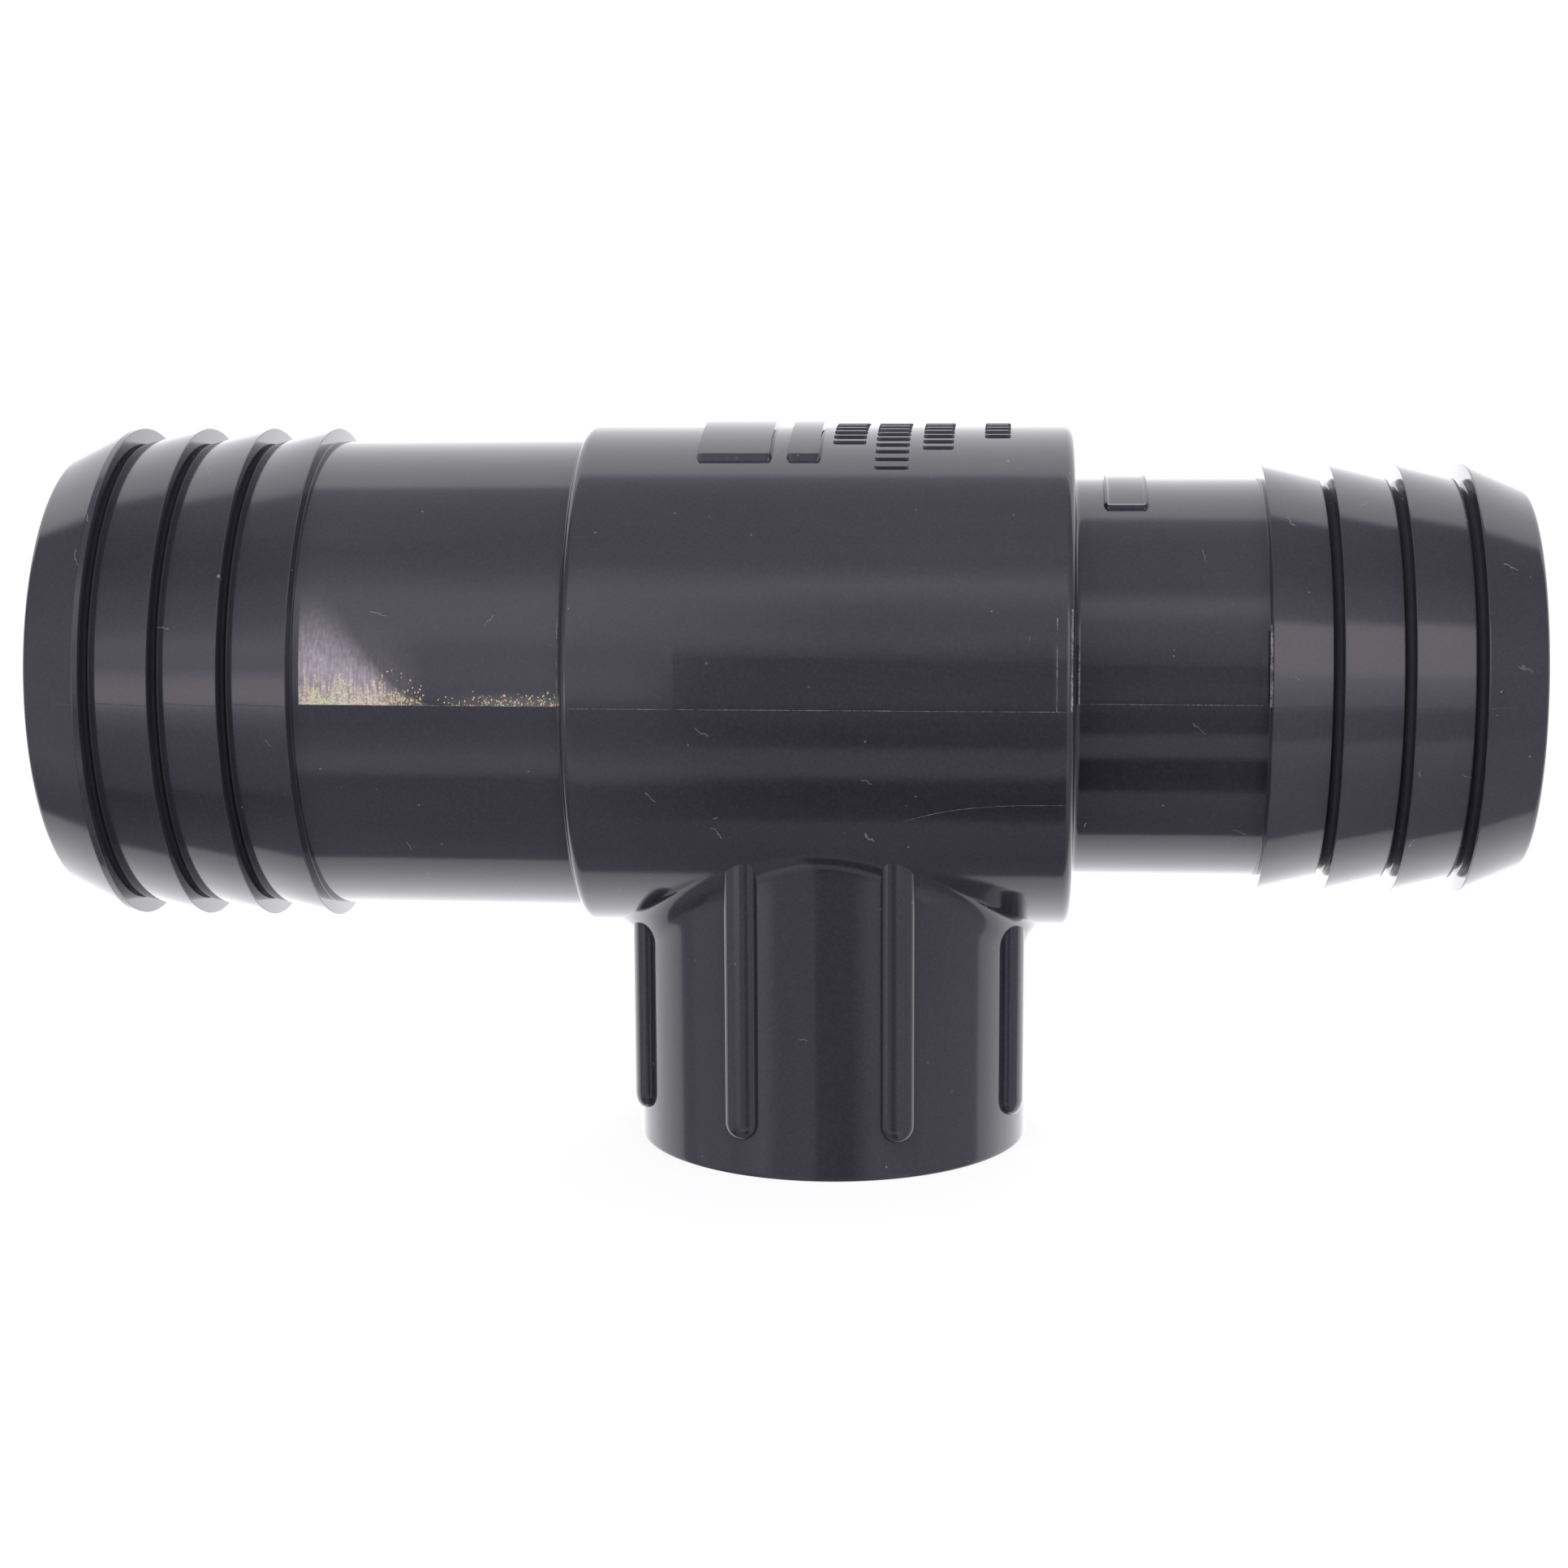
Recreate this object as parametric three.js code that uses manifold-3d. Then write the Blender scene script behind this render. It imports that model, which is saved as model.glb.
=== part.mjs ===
// Barbed reducing tee for hose: a moulded PVC fitting with a large hose tail, a smaller hose
// tail and a threaded outlet at right angles between them.
// Units are millimetres, +Z is up, and the part stands on the flat end of its outlet.
// Inside the modelling group the run axis is X, the outlet axis is Z, and both cross at 0.

import * as THREE from "three";
import { mergeVertices } from "three/addons/utils/BufferGeometryUtils.js";
import Module from "manifold-3d";

const wasm = await Module();
wasm.setup();

// Barrel: the thick middle of the run, from its large-tail end to its small-tail end.
const BARREL_RADIUS = 21.55;
const BARREL_START = -20.82;
const BARREL_END = 20.58;
const BARREL_CORNER = 0.9;

// Bores of the run, and the cone that steps one down to the other.
const LARGE_BORE_RADIUS = 16.8;
const SMALL_BORE_RADIUS = 13.9;
const BORE_STEP_START = 11.0;
const BORE_STEP_END = BORE_STEP_START + LARGE_BORE_RADIUS - SMALL_BORE_RADIUS;

// Hose tails. Distances run from the outlet axis outwards, towards the open tip.
const LARGE_TAIL = {
  prefix: "large",
  side: -1,
  shoulder: -BARREL_START,
  bore: LARGE_BORE_RADIUS,
  neckAtBarrel: 20.3,
  neckAtBarbs: 20.15,
  footFillet: 0.3,
  tip: 65.67,
  tipRadius: 18.85,
  firstCrest: 60.22,
  pitch: 5.73,
  crestFlat: 0.5,
  crestRadius: 21.3,
  grooveRadius: 20.1,
  slotRadius: 19.5,
  pads: [],
};
const SMALL_TAIL = {
  prefix: "small",
  side: 1,
  shoulder: BARREL_END,
  bore: SMALL_BORE_RADIUS,
  neckAtBarrel: 17.05,
  neckAtBarbs: 17.05,
  footFillet: 0.5,
  tip: 58.48,
  tipRadius: 16.05,
  firstCrest: 53.28,
  pitch: 5.65,
  crestFlat: 0.1,
  crestRadius: 18.25,
  grooveRadius: 17.05,
  slotRadius: 16.55,
  pads: [{ start: 22.93, length: 3.85, halfWidth: 7.9, height: 0.35 }],
};
const BARB_COUNT = 4;
const BARB_LAND = 0.8;
const BARB_UNDERCUT = 0.1;

// Outlet: a socket below the barrel, joined to it by a rolling fillet.
const OUTLET_RADIUS = 17.05;
const OUTLET_END = -40.45;
const OUTLET_BORE_RADIUS = 10.45;
const FILLET_RADIUS = 2.5;
const SOCKET_SEAT = -24.6;

// The fillet's solid reaches this far into the outlet, up into the barrel, and into both
// surfaces that it joins.
const FLARE_CORE_RADIUS = 14;
const FLARE_ROOT = 3;
const FLARE_OVERLAP = 0.05;

// Taper pipe thread inside the outlet.
const THREAD_PITCH = 25.4 / 14;
const THREAD_ROOT_RADIUS = 13.3;
const THREAD_DEPTH = 1.4;
const THREAD_TAPER = 1 / 32;
const THREAD_TOP = -25.4;
const MOUTH_RADIUS = 13.9;
const MOUTH_CHAMFER_DEPTH = 1.6;

// Grip ribs round the outlet.
const RIB_COUNT = 8;
const RIB_WIDTH = 2.62;
const RIB_OUTER_RADIUS = 18.05;
const RIB_EDGE = 0.4;
const RIB_TOP = -11;
const RIB_FOOT = -37.22;
const RIB_CLEARANCE = 0.3;

// Plain raised pads on top of the barrel. The small neck has one too.
const BARREL_PADS = [
  { start: -10.82, length: 6.5, halfWidth: 9.9, height: 0.5 },
  { start: -3.32, length: 3.1, halfWidth: 9.9, height: 0.5 },
];

// Faceting. The outlet's facets are centred on the ribs, so each rib seats on a flat one.
const RUN_SEGMENTS = 48;
const OUTLET_SEGMENTS = 40;
const ARC_STEPS = 4;

// How far a cutting solid runs past the face that it cuts.
const PAST = 1;

const outletSeat = OUTLET_RADIUS * Math.cos(Math.PI / OUTLET_SEGMENTS);

const pvc = {
  color: 0x46454b,
  roughness: 0.32,
  metalness: 0,
};

// A closed profile of [distance along the axis, radius] pairs, turned round the run (X). It runs
// along the outside towards -X.
function turnedAlongRun(profile) {
  const closed = [...profile, profile[0]].toReversed();
  const points = closed.map(([along, radius]) => new THREE.Vector2(radius, along));
  return new THREE.LatheGeometry(points, RUN_SEGMENTS).rotateZ(-Math.PI / 2);
}

// The same for a profile of [height, radius] pairs, turned round the outlet (Z). It runs along
// the outside upwards.
function turnedAlongOutlet(profile) {
  const points = [...profile, profile[0]].map(([height, radius]) => new THREE.Vector2(radius, height));
  return new THREE.LatheGeometry(points, OUTLET_SEGMENTS).rotateX(Math.PI / 2);
}

function toSolid(geometry) {
  const bare = geometry.clone();
  bare.deleteAttribute("normal");
  bare.deleteAttribute("uv");
  const merged = mergeVertices(bare);
  const vertProperties = new Float32Array(merged.attributes.position.array);
  const triVerts = new Uint32Array(merged.index.array);
  return new wasm.Manifold(new wasm.Mesh({ numProp: 3, vertProperties, triVerts }));
}

function toGeometry(solid) {
  const mesh = solid.getMesh();
  const geometry = new THREE.BufferGeometry();
  geometry.setAttribute("position", new THREE.BufferAttribute(mesh.vertProperties, 3));
  geometry.setIndex(new THREE.BufferAttribute(mesh.triVerts, 1));
  geometry.computeVertexNormals();
  return geometry;
}

// Quarter arc between two axis directions, as [along, radius] pairs about a centre.
function quarterArc(centreAlong, centreRadius, radius, fromAngle) {
  const pairs = [];
  for (let step = 0; step <= ARC_STEPS; step += 1) {
    const angle = fromAngle + (Math.PI / 2) * (step / ARC_STEPS);
    pairs.push([centreAlong + radius * Math.cos(angle), centreRadius + radius * Math.sin(angle)]);
  }
  return pairs;
}

function barrelShell() {
  const cornerCentre = BARREL_RADIUS - BARREL_CORNER;
  return toSolid(turnedAlongRun([
    [BARREL_START, LARGE_BORE_RADIUS],
    [BORE_STEP_START, LARGE_BORE_RADIUS],
    [BORE_STEP_END, SMALL_BORE_RADIUS],
    [BARREL_END, SMALL_BORE_RADIUS],
    ...quarterArc(BARREL_END - BARREL_CORNER, cornerCentre, BARREL_CORNER, 0),
    ...quarterArc(BARREL_START + BARREL_CORNER, cornerCentre, BARREL_CORNER, Math.PI / 2),
  ]));
}

function runCylinder(radius, start, end) {
  return toSolid(turnedAlongRun([
    [start, 0],
    [end, 0],
    [end, radius],
    [start, radius],
  ]));
}

function outletCylinder(radius, low, high) {
  return toSolid(turnedAlongOutlet([
    [low, 0],
    [low, radius],
    [high, radius],
    [high, 0],
  ]));
}

// The fillet between barrel and outlet: the surface left by a ball that rolls round the
// joint and touches both cylinders. A positive clearance gives the same shape grown outwards.
function filletFlare(clearance) {
  const ballRadius = FILLET_RADIUS - clearance;
  const centreReach = OUTLET_RADIUS + FILLET_RADIUS;
  const centreDrop = BARREL_RADIUS + FILLET_RADIUS;
  const rings = [];
  for (let segment = 0; segment < OUTLET_SEGMENTS; segment += 1) {
    const azimuth = (2 * Math.PI * segment) / OUTLET_SEGMENTS;
    const outward = new THREE.Vector3(Math.cos(azimuth), Math.sin(azimuth), 0);
    const centre = outward.clone().multiplyScalar(centreReach);
    centre.z = -Math.sqrt(centreDrop ** 2 - centre.y ** 2);
    const toOutlet = outward.clone().negate();
    const toBarrel = new THREE.Vector3(0, -centre.y, -centre.z).normalize();
    const sweep = toOutlet.angleTo(toBarrel);
    const ring = [];
    for (let step = 0; step <= ARC_STEPS; step += 1) {
      const share = step / ARC_STEPS;
      const direction = toOutlet.clone().multiplyScalar(Math.sin((1 - share) * sweep));
      direction.addScaledVector(toBarrel, Math.sin(share * sweep)).divideScalar(Math.sin(sweep));
      ring.push(centre.clone().addScaledVector(direction, ballRadius));
    }
    const barrelEdge = ring[ARC_STEPS];
    barrelEdge.addScaledVector(toBarrel, FLARE_OVERLAP);
    ring[0].addScaledVector(toOutlet, FLARE_OVERLAP);
    ring.push(new THREE.Vector3(barrelEdge.x, barrelEdge.y, barrelEdge.z + FLARE_ROOT));
    const core = outward.clone().multiplyScalar(FLARE_CORE_RADIUS);
    ring.push(new THREE.Vector3(core.x, core.y, barrelEdge.z + FLARE_ROOT));
    ring.push(new THREE.Vector3(core.x, core.y, ring[0].z));
    rings.push(ring);
  }
  return toSolid(closedRings(rings));
}

// Closed band through rings of points: each ring closes on itself, and the last meets the first.
function closedRings(rings) {
  const ringSize = rings[0].length;
  const positions = rings.flat().flatMap((point) => point.toArray());
  const index = [];
  for (let ring = 0; ring < rings.length; ring += 1) {
    const nextRing = (ring + 1) % rings.length;
    for (let point = 0; point < ringSize; point += 1) {
      const nextPoint = (point + 1) % ringSize;
      const corners = [
        ring * ringSize + point,
        nextRing * ringSize + point,
        nextRing * ringSize + nextPoint,
        ring * ringSize + nextPoint,
      ];
      index.push(corners[0], corners[1], corners[2]);
      index.push(corners[0], corners[2], corners[3]);
    }
  }
  const geometry = new THREE.BufferGeometry();
  geometry.setAttribute("position", new THREE.Float32BufferAttribute(positions, 3));
  geometry.setIndex(index);
  return geometry;
}

// A raised pad with upright walls: a slice of a slightly larger cylinder, cut to the pad's
// width and rooted halfway into the wall between the bore and the pad's lower edge.
function raisedPad(pad, radius, bore) {
  const slice = runCylinder(radius + pad.height, pad.start, pad.start + pad.length);
  const root = (bore + Math.sqrt(radius ** 2 - pad.halfWidth ** 2)) / 2;
  const box = new THREE.BoxGeometry(pad.length + 2 * PAST, 2 * pad.halfWidth, radius);
  box.translate(pad.start + pad.length / 2, 0, root + radius / 2);
  return slice.intersect(toSolid(box));
}

function runBarrel() {
  const outletBoss = outletCylinder(OUTLET_RADIUS, SOCKET_SEAT, -LARGE_BORE_RADIUS / 2);
  let solid = barrelShell().add(outletBoss).add(filletFlare(0));
  for (const pad of BARREL_PADS) {
    solid = solid.add(raisedPad(pad, BARREL_RADIUS, LARGE_BORE_RADIUS));
  }
  const throat = runCylinder(LARGE_BORE_RADIUS, BARREL_START - PAST, BORE_STEP_START);
  const stepped = toSolid(turnedAlongRun([
    [BORE_STEP_START - PAST, 0],
    [BARREL_END + PAST, 0],
    [BARREL_END + PAST, SMALL_BORE_RADIUS],
    [BORE_STEP_END, SMALL_BORE_RADIUS],
    [BORE_STEP_START, LARGE_BORE_RADIUS],
    [BORE_STEP_START - PAST, LARGE_BORE_RADIUS],
  ]));
  solid = solid.subtract(throat).subtract(stepped);
  return toGeometry(solid.subtract(outletCylinder(OUTLET_BORE_RADIUS, SOCKET_SEAT - PAST, 0)));
}

// The space that the thread leaves, as a solid screw: a root line and a crest line wind round
// the axis side by side, and two fans close the ends.
function threadSpace() {
  const start = OUTLET_END - 2 * THREAD_PITCH;
  const turns = Math.ceil((THREAD_TOP - start) / THREAD_PITCH) + 1;
  const steps = turns * OUTLET_SEGMENTS;
  const positions = [];
  for (const isInner of [0, 1]) {
    for (let step = 0; step <= steps + OUTLET_SEGMENTS; step += 1) {
      const angle = (2 * Math.PI * step) / OUTLET_SEGMENTS;
      const height = start + THREAD_PITCH * (step / OUTLET_SEGMENTS + isInner / 2);
      const root = THREAD_ROOT_RADIUS - (height - OUTLET_END) * THREAD_TAPER;
      const radius = root - isInner * THREAD_DEPTH;
      positions.push(radius * Math.cos(angle), radius * Math.sin(angle), height);
    }
  }
  const outer = (step) => step;
  const inner = (step) => steps + OUTLET_SEGMENTS + 1 + step;
  const lowCentre = positions.length / 3;
  positions.push(0, 0, start);
  const highCentre = positions.length / 3;
  positions.push(0, 0, start + THREAD_PITCH * (turns + 1));
  const index = [];
  for (let step = 0; step < steps; step += 1) {
    const above = step + OUTLET_SEGMENTS;
    index.push(outer(step), outer(step + 1), inner(step + 1));
    index.push(outer(step), inner(step + 1), inner(step));
    index.push(inner(step), inner(step + 1), outer(above + 1));
    index.push(inner(step), outer(above + 1), outer(above));
  }
  for (let step = 0; step < OUTLET_SEGMENTS; step += 1) {
    index.push(lowCentre, outer(step + 1), outer(step));
    index.push(highCentre, outer(steps + step), outer(steps + step + 1));
  }
  index.push(lowCentre, inner(0), outer(OUTLET_SEGMENTS));
  index.push(lowCentre, outer(0), inner(0));
  index.push(highCentre, outer(steps + OUTLET_SEGMENTS), inner(steps));
  index.push(highCentre, inner(steps), outer(steps));
  const geometry = new THREE.BufferGeometry();
  geometry.setAttribute("position", new THREE.Float32BufferAttribute(positions, 3));
  geometry.setIndex(index);
  return toSolid(geometry);
}

function outletSocket() {
  const wall = outletCylinder(OUTLET_RADIUS, OUTLET_END, SOCKET_SEAT);
  const bore = outletCylinder(OUTLET_BORE_RADIUS, OUTLET_END - PAST, SOCKET_SEAT + PAST);
  const threadZone = outletCylinder(OUTLET_RADIUS, OUTLET_END - PAST, THREAD_TOP);
  const thread = threadSpace().intersect(threadZone);
  const mouth = toSolid(turnedAlongOutlet([
    [OUTLET_END - PAST, 0],
    [OUTLET_END - PAST, MOUTH_RADIUS],
    [OUTLET_END, MOUTH_RADIUS],
    [OUTLET_END + MOUTH_CHAMFER_DEPTH, MOUTH_RADIUS - MOUTH_CHAMFER_DEPTH],
    [OUTLET_END + MOUTH_CHAMFER_DEPTH, 0],
  ]));
  return toGeometry(wall.subtract(bore).subtract(thread).subtract(mouth));
}

// One rib on the +X side: a flat bar with a half-round foot and eased outer edges.
function gripRib(azimuth) {
  const half = RIB_WIDTH / 2 - RIB_EDGE;
  const outline = new THREE.Shape();
  outline.moveTo(-half, RIB_TOP);
  outline.lineTo(-half, RIB_FOOT + RIB_WIDTH / 2);
  outline.absarc(0, RIB_FOOT + RIB_WIDTH / 2, half, Math.PI, 2 * Math.PI, false);
  outline.lineTo(half, RIB_TOP);
  const bar = new THREE.ExtrudeGeometry(outline, {
    depth: RIB_WIDTH,
    bevelThickness: RIB_EDGE,
    bevelSize: RIB_EDGE,
    bevelSegments: 2,
    curveSegments: ARC_STEPS,
  });
  bar.rotateX(Math.PI / 2);
  bar.rotateZ(Math.PI / 2);
  bar.translate(RIB_OUTER_RADIUS - RIB_WIDTH - RIB_EDGE, 0, 0);
  const seatBlock = new THREE.BoxGeometry(outletSeat, RIB_WIDTH * 2, -OUTLET_END);
  seatBlock.translate(outletSeat / 2, 0, OUTLET_END / 2);
  const upright = toSolid(bar).subtract(toSolid(seatBlock));
  const barrelEnvelope = runCylinder(BARREL_RADIUS + RIB_CLEARANCE, BARREL_START, BARREL_END);
  return toGeometry(
    toSolid(toGeometry(upright).rotateZ(azimuth))
      .subtract(barrelEnvelope)
      .subtract(filletFlare(RIB_CLEARANCE)),
  );
}

function crestDistance(tail, barb) {
  return tail.firstCrest - barb * tail.pitch;
}

// Barbs are numbered from the tip. Each is a ring of the tail's wall: a cone that rises to a
// crest, and then a short land behind the crest. Between two barbs the land is the bottom of a
// narrow slot. The crest of the first barb is a narrow flat.
function barbRing(tail, barb) {
  const crest = crestDistance(tail, barb);
  const isFirst = barb === 0;
  const isLast = barb === BARB_COUNT - 1;
  const coneStart = isFirst ? tail.tip : crestDistance(tail, barb - 1) - BARB_LAND;
  const landRadius = isLast ? tail.neckAtBarbs : tail.slotRadius;
  const outline = [
    [coneStart, isFirst ? tail.tipRadius : tail.grooveRadius],
    ...(isFirst ? [[crest + tail.crestFlat, tail.crestRadius]] : []),
    [crest, tail.crestRadius],
    [crest - BARB_UNDERCUT, landRadius],
    [crest - BARB_LAND, landRadius],
    [crest - BARB_LAND, tail.bore],
    [coneStart, tail.bore],
  ];
  return turnedAlongRun(orient(tail, outline));
}

// The plain neck between the last barb and the barrel, with a fillet at its foot.
function hoseNeck(tail) {
  const barbEnd = crestDistance(tail, BARB_COUNT - 1) - BARB_LAND;
  const fillet = tail.footFillet;
  const foot = [];
  for (let step = 0; step <= ARC_STEPS; step += 1) {
    const angle = (Math.PI / 2) * (step / ARC_STEPS);
    foot.push([
      tail.shoulder + fillet * (1 - Math.sin(angle)),
      tail.neckAtBarrel + fillet * (1 - Math.cos(angle)),
    ]);
  }
  const outline = [
    [barbEnd, tail.neckAtBarbs],
    ...foot.toSorted((a, b) => b[0] - a[0]),
    [tail.shoulder, tail.bore],
    [barbEnd, tail.bore],
  ];
  return turnedAlongRun(orient(tail, outline));
}

function neckWithPads(tail) {
  let solid = toSolid(hoseNeck(tail));
  for (const pad of tail.pads) {
    solid = solid.add(raisedPad(pad, tail.neckAtBarrel, tail.bore));
  }
  return toGeometry(solid);
}

// Outlines are written from the tip inwards, which runs one way on each side of the barrel.
function orient(tail, outline) {
  const placed = outline.map(([distance, radius]) => [tail.side * distance, radius]);
  return tail.side > 0 ? placed : placed.toReversed();
}

const connector = new THREE.Group();
const tee = new THREE.Group();
connector.add(tee);

function addPiece(name, geometry) {
  const mesh = new THREE.Mesh(geometry, new THREE.MeshStandardMaterial(pvc));
  mesh.name = name;
  tee.add(mesh);
}

addPiece("run_barrel", runBarrel());
addPiece("outlet_socket", outletSocket());
for (let rib = 0; rib < RIB_COUNT; rib += 1) {
  addPiece(`grip_rib_${rib + 1}`, gripRib(((rib + 0.5) * 2 * Math.PI) / RIB_COUNT));
}
for (const tail of [LARGE_TAIL, SMALL_TAIL]) {
  addPiece(`${tail.prefix}_hose_neck`, neckWithPads(tail));
  for (let barb = 0; barb < BARB_COUNT; barb += 1) {
    addPiece(`${tail.prefix}_barb_${barb + 1}`, barbRing(tail, barb));
  }
}

// The row's origin is the bottom centre of the whole part's box.
tee.position.set((LARGE_TAIL.tip - SMALL_TAIL.tip) / 2, 0, -OUTLET_END);

export default connector;
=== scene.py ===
import math

import bmesh
import bpy
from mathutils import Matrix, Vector, noise


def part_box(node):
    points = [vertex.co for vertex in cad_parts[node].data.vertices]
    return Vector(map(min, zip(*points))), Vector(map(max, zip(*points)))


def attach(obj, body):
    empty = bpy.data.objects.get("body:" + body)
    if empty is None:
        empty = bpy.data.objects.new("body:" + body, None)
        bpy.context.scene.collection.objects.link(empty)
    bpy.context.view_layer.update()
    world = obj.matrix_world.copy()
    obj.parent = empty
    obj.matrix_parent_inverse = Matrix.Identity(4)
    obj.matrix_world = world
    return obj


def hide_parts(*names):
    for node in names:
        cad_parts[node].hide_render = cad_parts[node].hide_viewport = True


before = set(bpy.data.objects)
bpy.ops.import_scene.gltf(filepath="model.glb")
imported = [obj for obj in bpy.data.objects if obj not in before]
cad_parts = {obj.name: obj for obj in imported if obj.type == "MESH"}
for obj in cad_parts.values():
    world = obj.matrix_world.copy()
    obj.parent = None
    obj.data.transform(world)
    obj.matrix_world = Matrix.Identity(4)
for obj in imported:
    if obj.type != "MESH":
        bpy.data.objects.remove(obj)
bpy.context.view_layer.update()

# Looks of the barbed tee connector: one dark grey PVC moulding. Every CAD node is replaced by a
# fine mesh of the same sub-part. Shapes are worked out in the tee's own frame: the run's axis is
# X, the outlet's axis is Z, and both cross at the origin, which lies at CROSSING in the row frame.

MM = 0.001


def box_middle(node):
    low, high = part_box(node)
    return (low + high) / 2


def half_width(node):
    low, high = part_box(node)
    return (high.y - low.y) / 2


CROSSING = Vector((box_middle("outlet_socket").x, 0, box_middle("large_barb_1").z))

# Barrel. Its skin lies a little inside the box, so that the mould line stays within it.
RIDGE_ROOM = 0.04 * MM
BARREL_RADIUS = half_width("run_barrel") - RIDGE_ROOM
BARREL_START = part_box("run_barrel")[0].x - CROSSING.x
BARREL_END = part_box("run_barrel")[1].x - CROSSING.x
BARREL_CORNER = 0.8 * MM
LARGE_BORE = 16.8 * MM
SMALL_BORE = 13.9 * MM
BORE_STEP_START = 11.0 * MM
BORE_STEP_END = BORE_STEP_START + LARGE_BORE - SMALL_BORE

# Outlet. Its fillet is larger at the front and back than at the sides.
OUTLET_RADIUS = half_width("outlet_socket")
OUTLET_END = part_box("outlet_socket")[0].z - CROSSING.z
SOCKET_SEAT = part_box("outlet_socket")[1].z - CROSSING.z
OUTLET_BORE = 10.45 * MM
FILLET_SIDE = 2.3 * MM
FILLET_FRONT = 3.2 * MM

# Thread in the outlet.
THREAD_PITCH = 25.4 * MM / 14
THREAD_ROOT = 13.3 * MM
THREAD_DEPTH = 1.4 * MM
THREAD_TAPER = 1 / 32
THREAD_TOP = -25.4 * MM
THREAD_STEPS_A_TURN = 12
MOUTH_RADIUS = 13.9 * MM
MOUTH_EDGE = 0.25 * MM

# Grip ribs.
RIB_COUNT = 8
RIB_WIDTH = 2.92 * MM
RIB_OUTER = 18.05 * MM
RIB_CROWN = 0.9 * MM
RIB_ROUNDNESS = 0.9
RIB_TURN = math.radians(-0.8)
RIB_INNER = OUTLET_RADIUS - 0.6 * MM
RIB_ROOT_DEPTH = 19.0 * MM

# Fineness of the meshes.
RUN_COLUMNS = 256
BARREL_COLUMNS = 72
OUTLET_COLUMNS = 224
SPREAD_ROWS = 20
SPREAD_POWER = 1.4
ARC_STEPS = 8
EASE_STEPS = 4
WALL_ROWS = 8
SOCKET_ROWS = 6
RIB_SIDE_ROWS = 24
RIB_FOOT_STEPS = 20
RIB_CROWN_STEPS = 14
SHARP_ANGLE = math.radians(32)
WELD = 1e-7

# Hose tails. Distances run from the outlet axis towards the tip.
BARB_COUNT = 4
BARB_LAND = 0.8 * MM
BARB_UNDERCUT = 0.1 * MM
CREST_EASE = 0.07 * MM
GROOVE_EASE = 0.05 * MM
SLOT_DEPTH = 0.85 * MM
SLOT_BACK_SHARE = 0.3
SLOT_FLOOR = 0.1 * MM
CONE_SLOPE = 0.24
EDGE_ROW = 0.05 * MM
LARGE_TAIL = {
    "name": "large",
    "side": -1,
    "shoulder": -BARREL_START,
    "bore": LARGE_BORE,
    "neck_at_barrel": 20.3 * MM,
    "neck_at_barbs": 20.15 * MM,
    "foot": 0.3 * MM,
    "tip_radius": 18.85 * MM,
    "crest_flat": 0.5 * MM,
    "groove": 20.1 * MM,
    "cone_foot": 0.36 * MM,
}
SMALL_TAIL = {
    "name": "small",
    "side": 1,
    "shoulder": BARREL_END,
    "bore": SMALL_BORE,
    "neck_at_barrel": 17.05 * MM,
    "neck_at_barbs": 17.05 * MM,
    "foot": 0.5 * MM,
    "tip_radius": 16.05 * MM,
    "crest_flat": 0.1 * MM,
    "groove": 17.05 * MM,
    "cone_foot": 0.03 * MM,
}
TIP_EASE = 0.45 * MM


# ---------------------------------------------------------------- points and bands


def on_run(along, angle, radius):
    """A point round the run. Angle 0 faces the front (-Y), a right angle faces up."""
    return Vector((along, -radius * math.cos(angle), radius * math.sin(angle)))


def on_outlet(height, azimuth, radius):
    """A point round the outlet. Azimuth 0 is on the +X side."""
    return Vector((radius * math.cos(azimuth), radius * math.sin(azimuth), height))


def turns(count):
    """count even angles of one full turn."""
    return [2 * math.pi * step / count for step in range(count)]


def spread(start, end, count):
    """count + 1 even values from start to end."""
    return [start + (end - start) * step / count for step in range(count + 1)]


def smooth_step(value, low, high):
    share = min(max((value - low) / (high - low), 0.0), 1.0)
    return share * share * (3 - 2 * share)


def add_band(mesh, rows, closed=True):
    """Quads between neighbouring rows of points. A closed row joins its last point to its first."""
    vertex_rows = [[mesh.verts.new(point) for point in row] for row in rows]
    for first, second in zip(vertex_rows, vertex_rows[1:]):
        count = len(first) if closed else len(first) - 1
        for at in range(count):
            after = (at + 1) % len(first)
            mesh.faces.new((first[at], first[after], second[after], second[at]))


def eased(corners):
    """A closed outline of (along, radius, ease) corners, each turned into a small smooth bend."""
    outline = []
    for at, (along, radius, ease) in enumerate(corners):
        corner = Vector((along, radius))
        if ease == 0:
            outline.append(corner)
            continue
        before = Vector(corners[at - 1][:2]) - corner
        after = Vector(corners[(at + 1) % len(corners)][:2]) - corner
        start = corner + before.normalized() * min(ease, before.length / 2)
        end = corner + after.normalized() * min(ease, after.length / 2)
        for share in spread(0, 1, EASE_STEPS):
            near = start.lerp(corner, share)
            far = corner.lerp(end, share)
            outline.append(near.lerp(far, share))
    return outline


def with_edge_rows(outline):
    """Adds a point close to each end of every long side, so that shading stays crisp at corners."""
    points = []
    for at, (along, radius) in enumerate(outline):
        start = Vector((along, radius))
        end = Vector(outline[(at + 1) % len(outline)])
        points.append(start)
        step = end - start
        if step.length > 4 * EDGE_ROW:
            points.append(start + step.normalized() * EDGE_ROW)
            points.append(end - step.normalized() * EDGE_ROW)
    return points


def add_turned_rows(mesh, profile):
    """(along, radius) points turned round the run."""
    angles = turns(RUN_COLUMNS)
    rings = [[on_run(along, angle, radius) for angle in angles] for along, radius in profile]
    add_band(mesh, rings)


def add_run_turning(mesh, outline):
    """A closed outline of (along, radius) points turned round the run."""
    outline = with_edge_rows(outline)
    add_turned_rows(mesh, outline + outline[:1])


# ---------------------------------------------------------------- pieces


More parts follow.
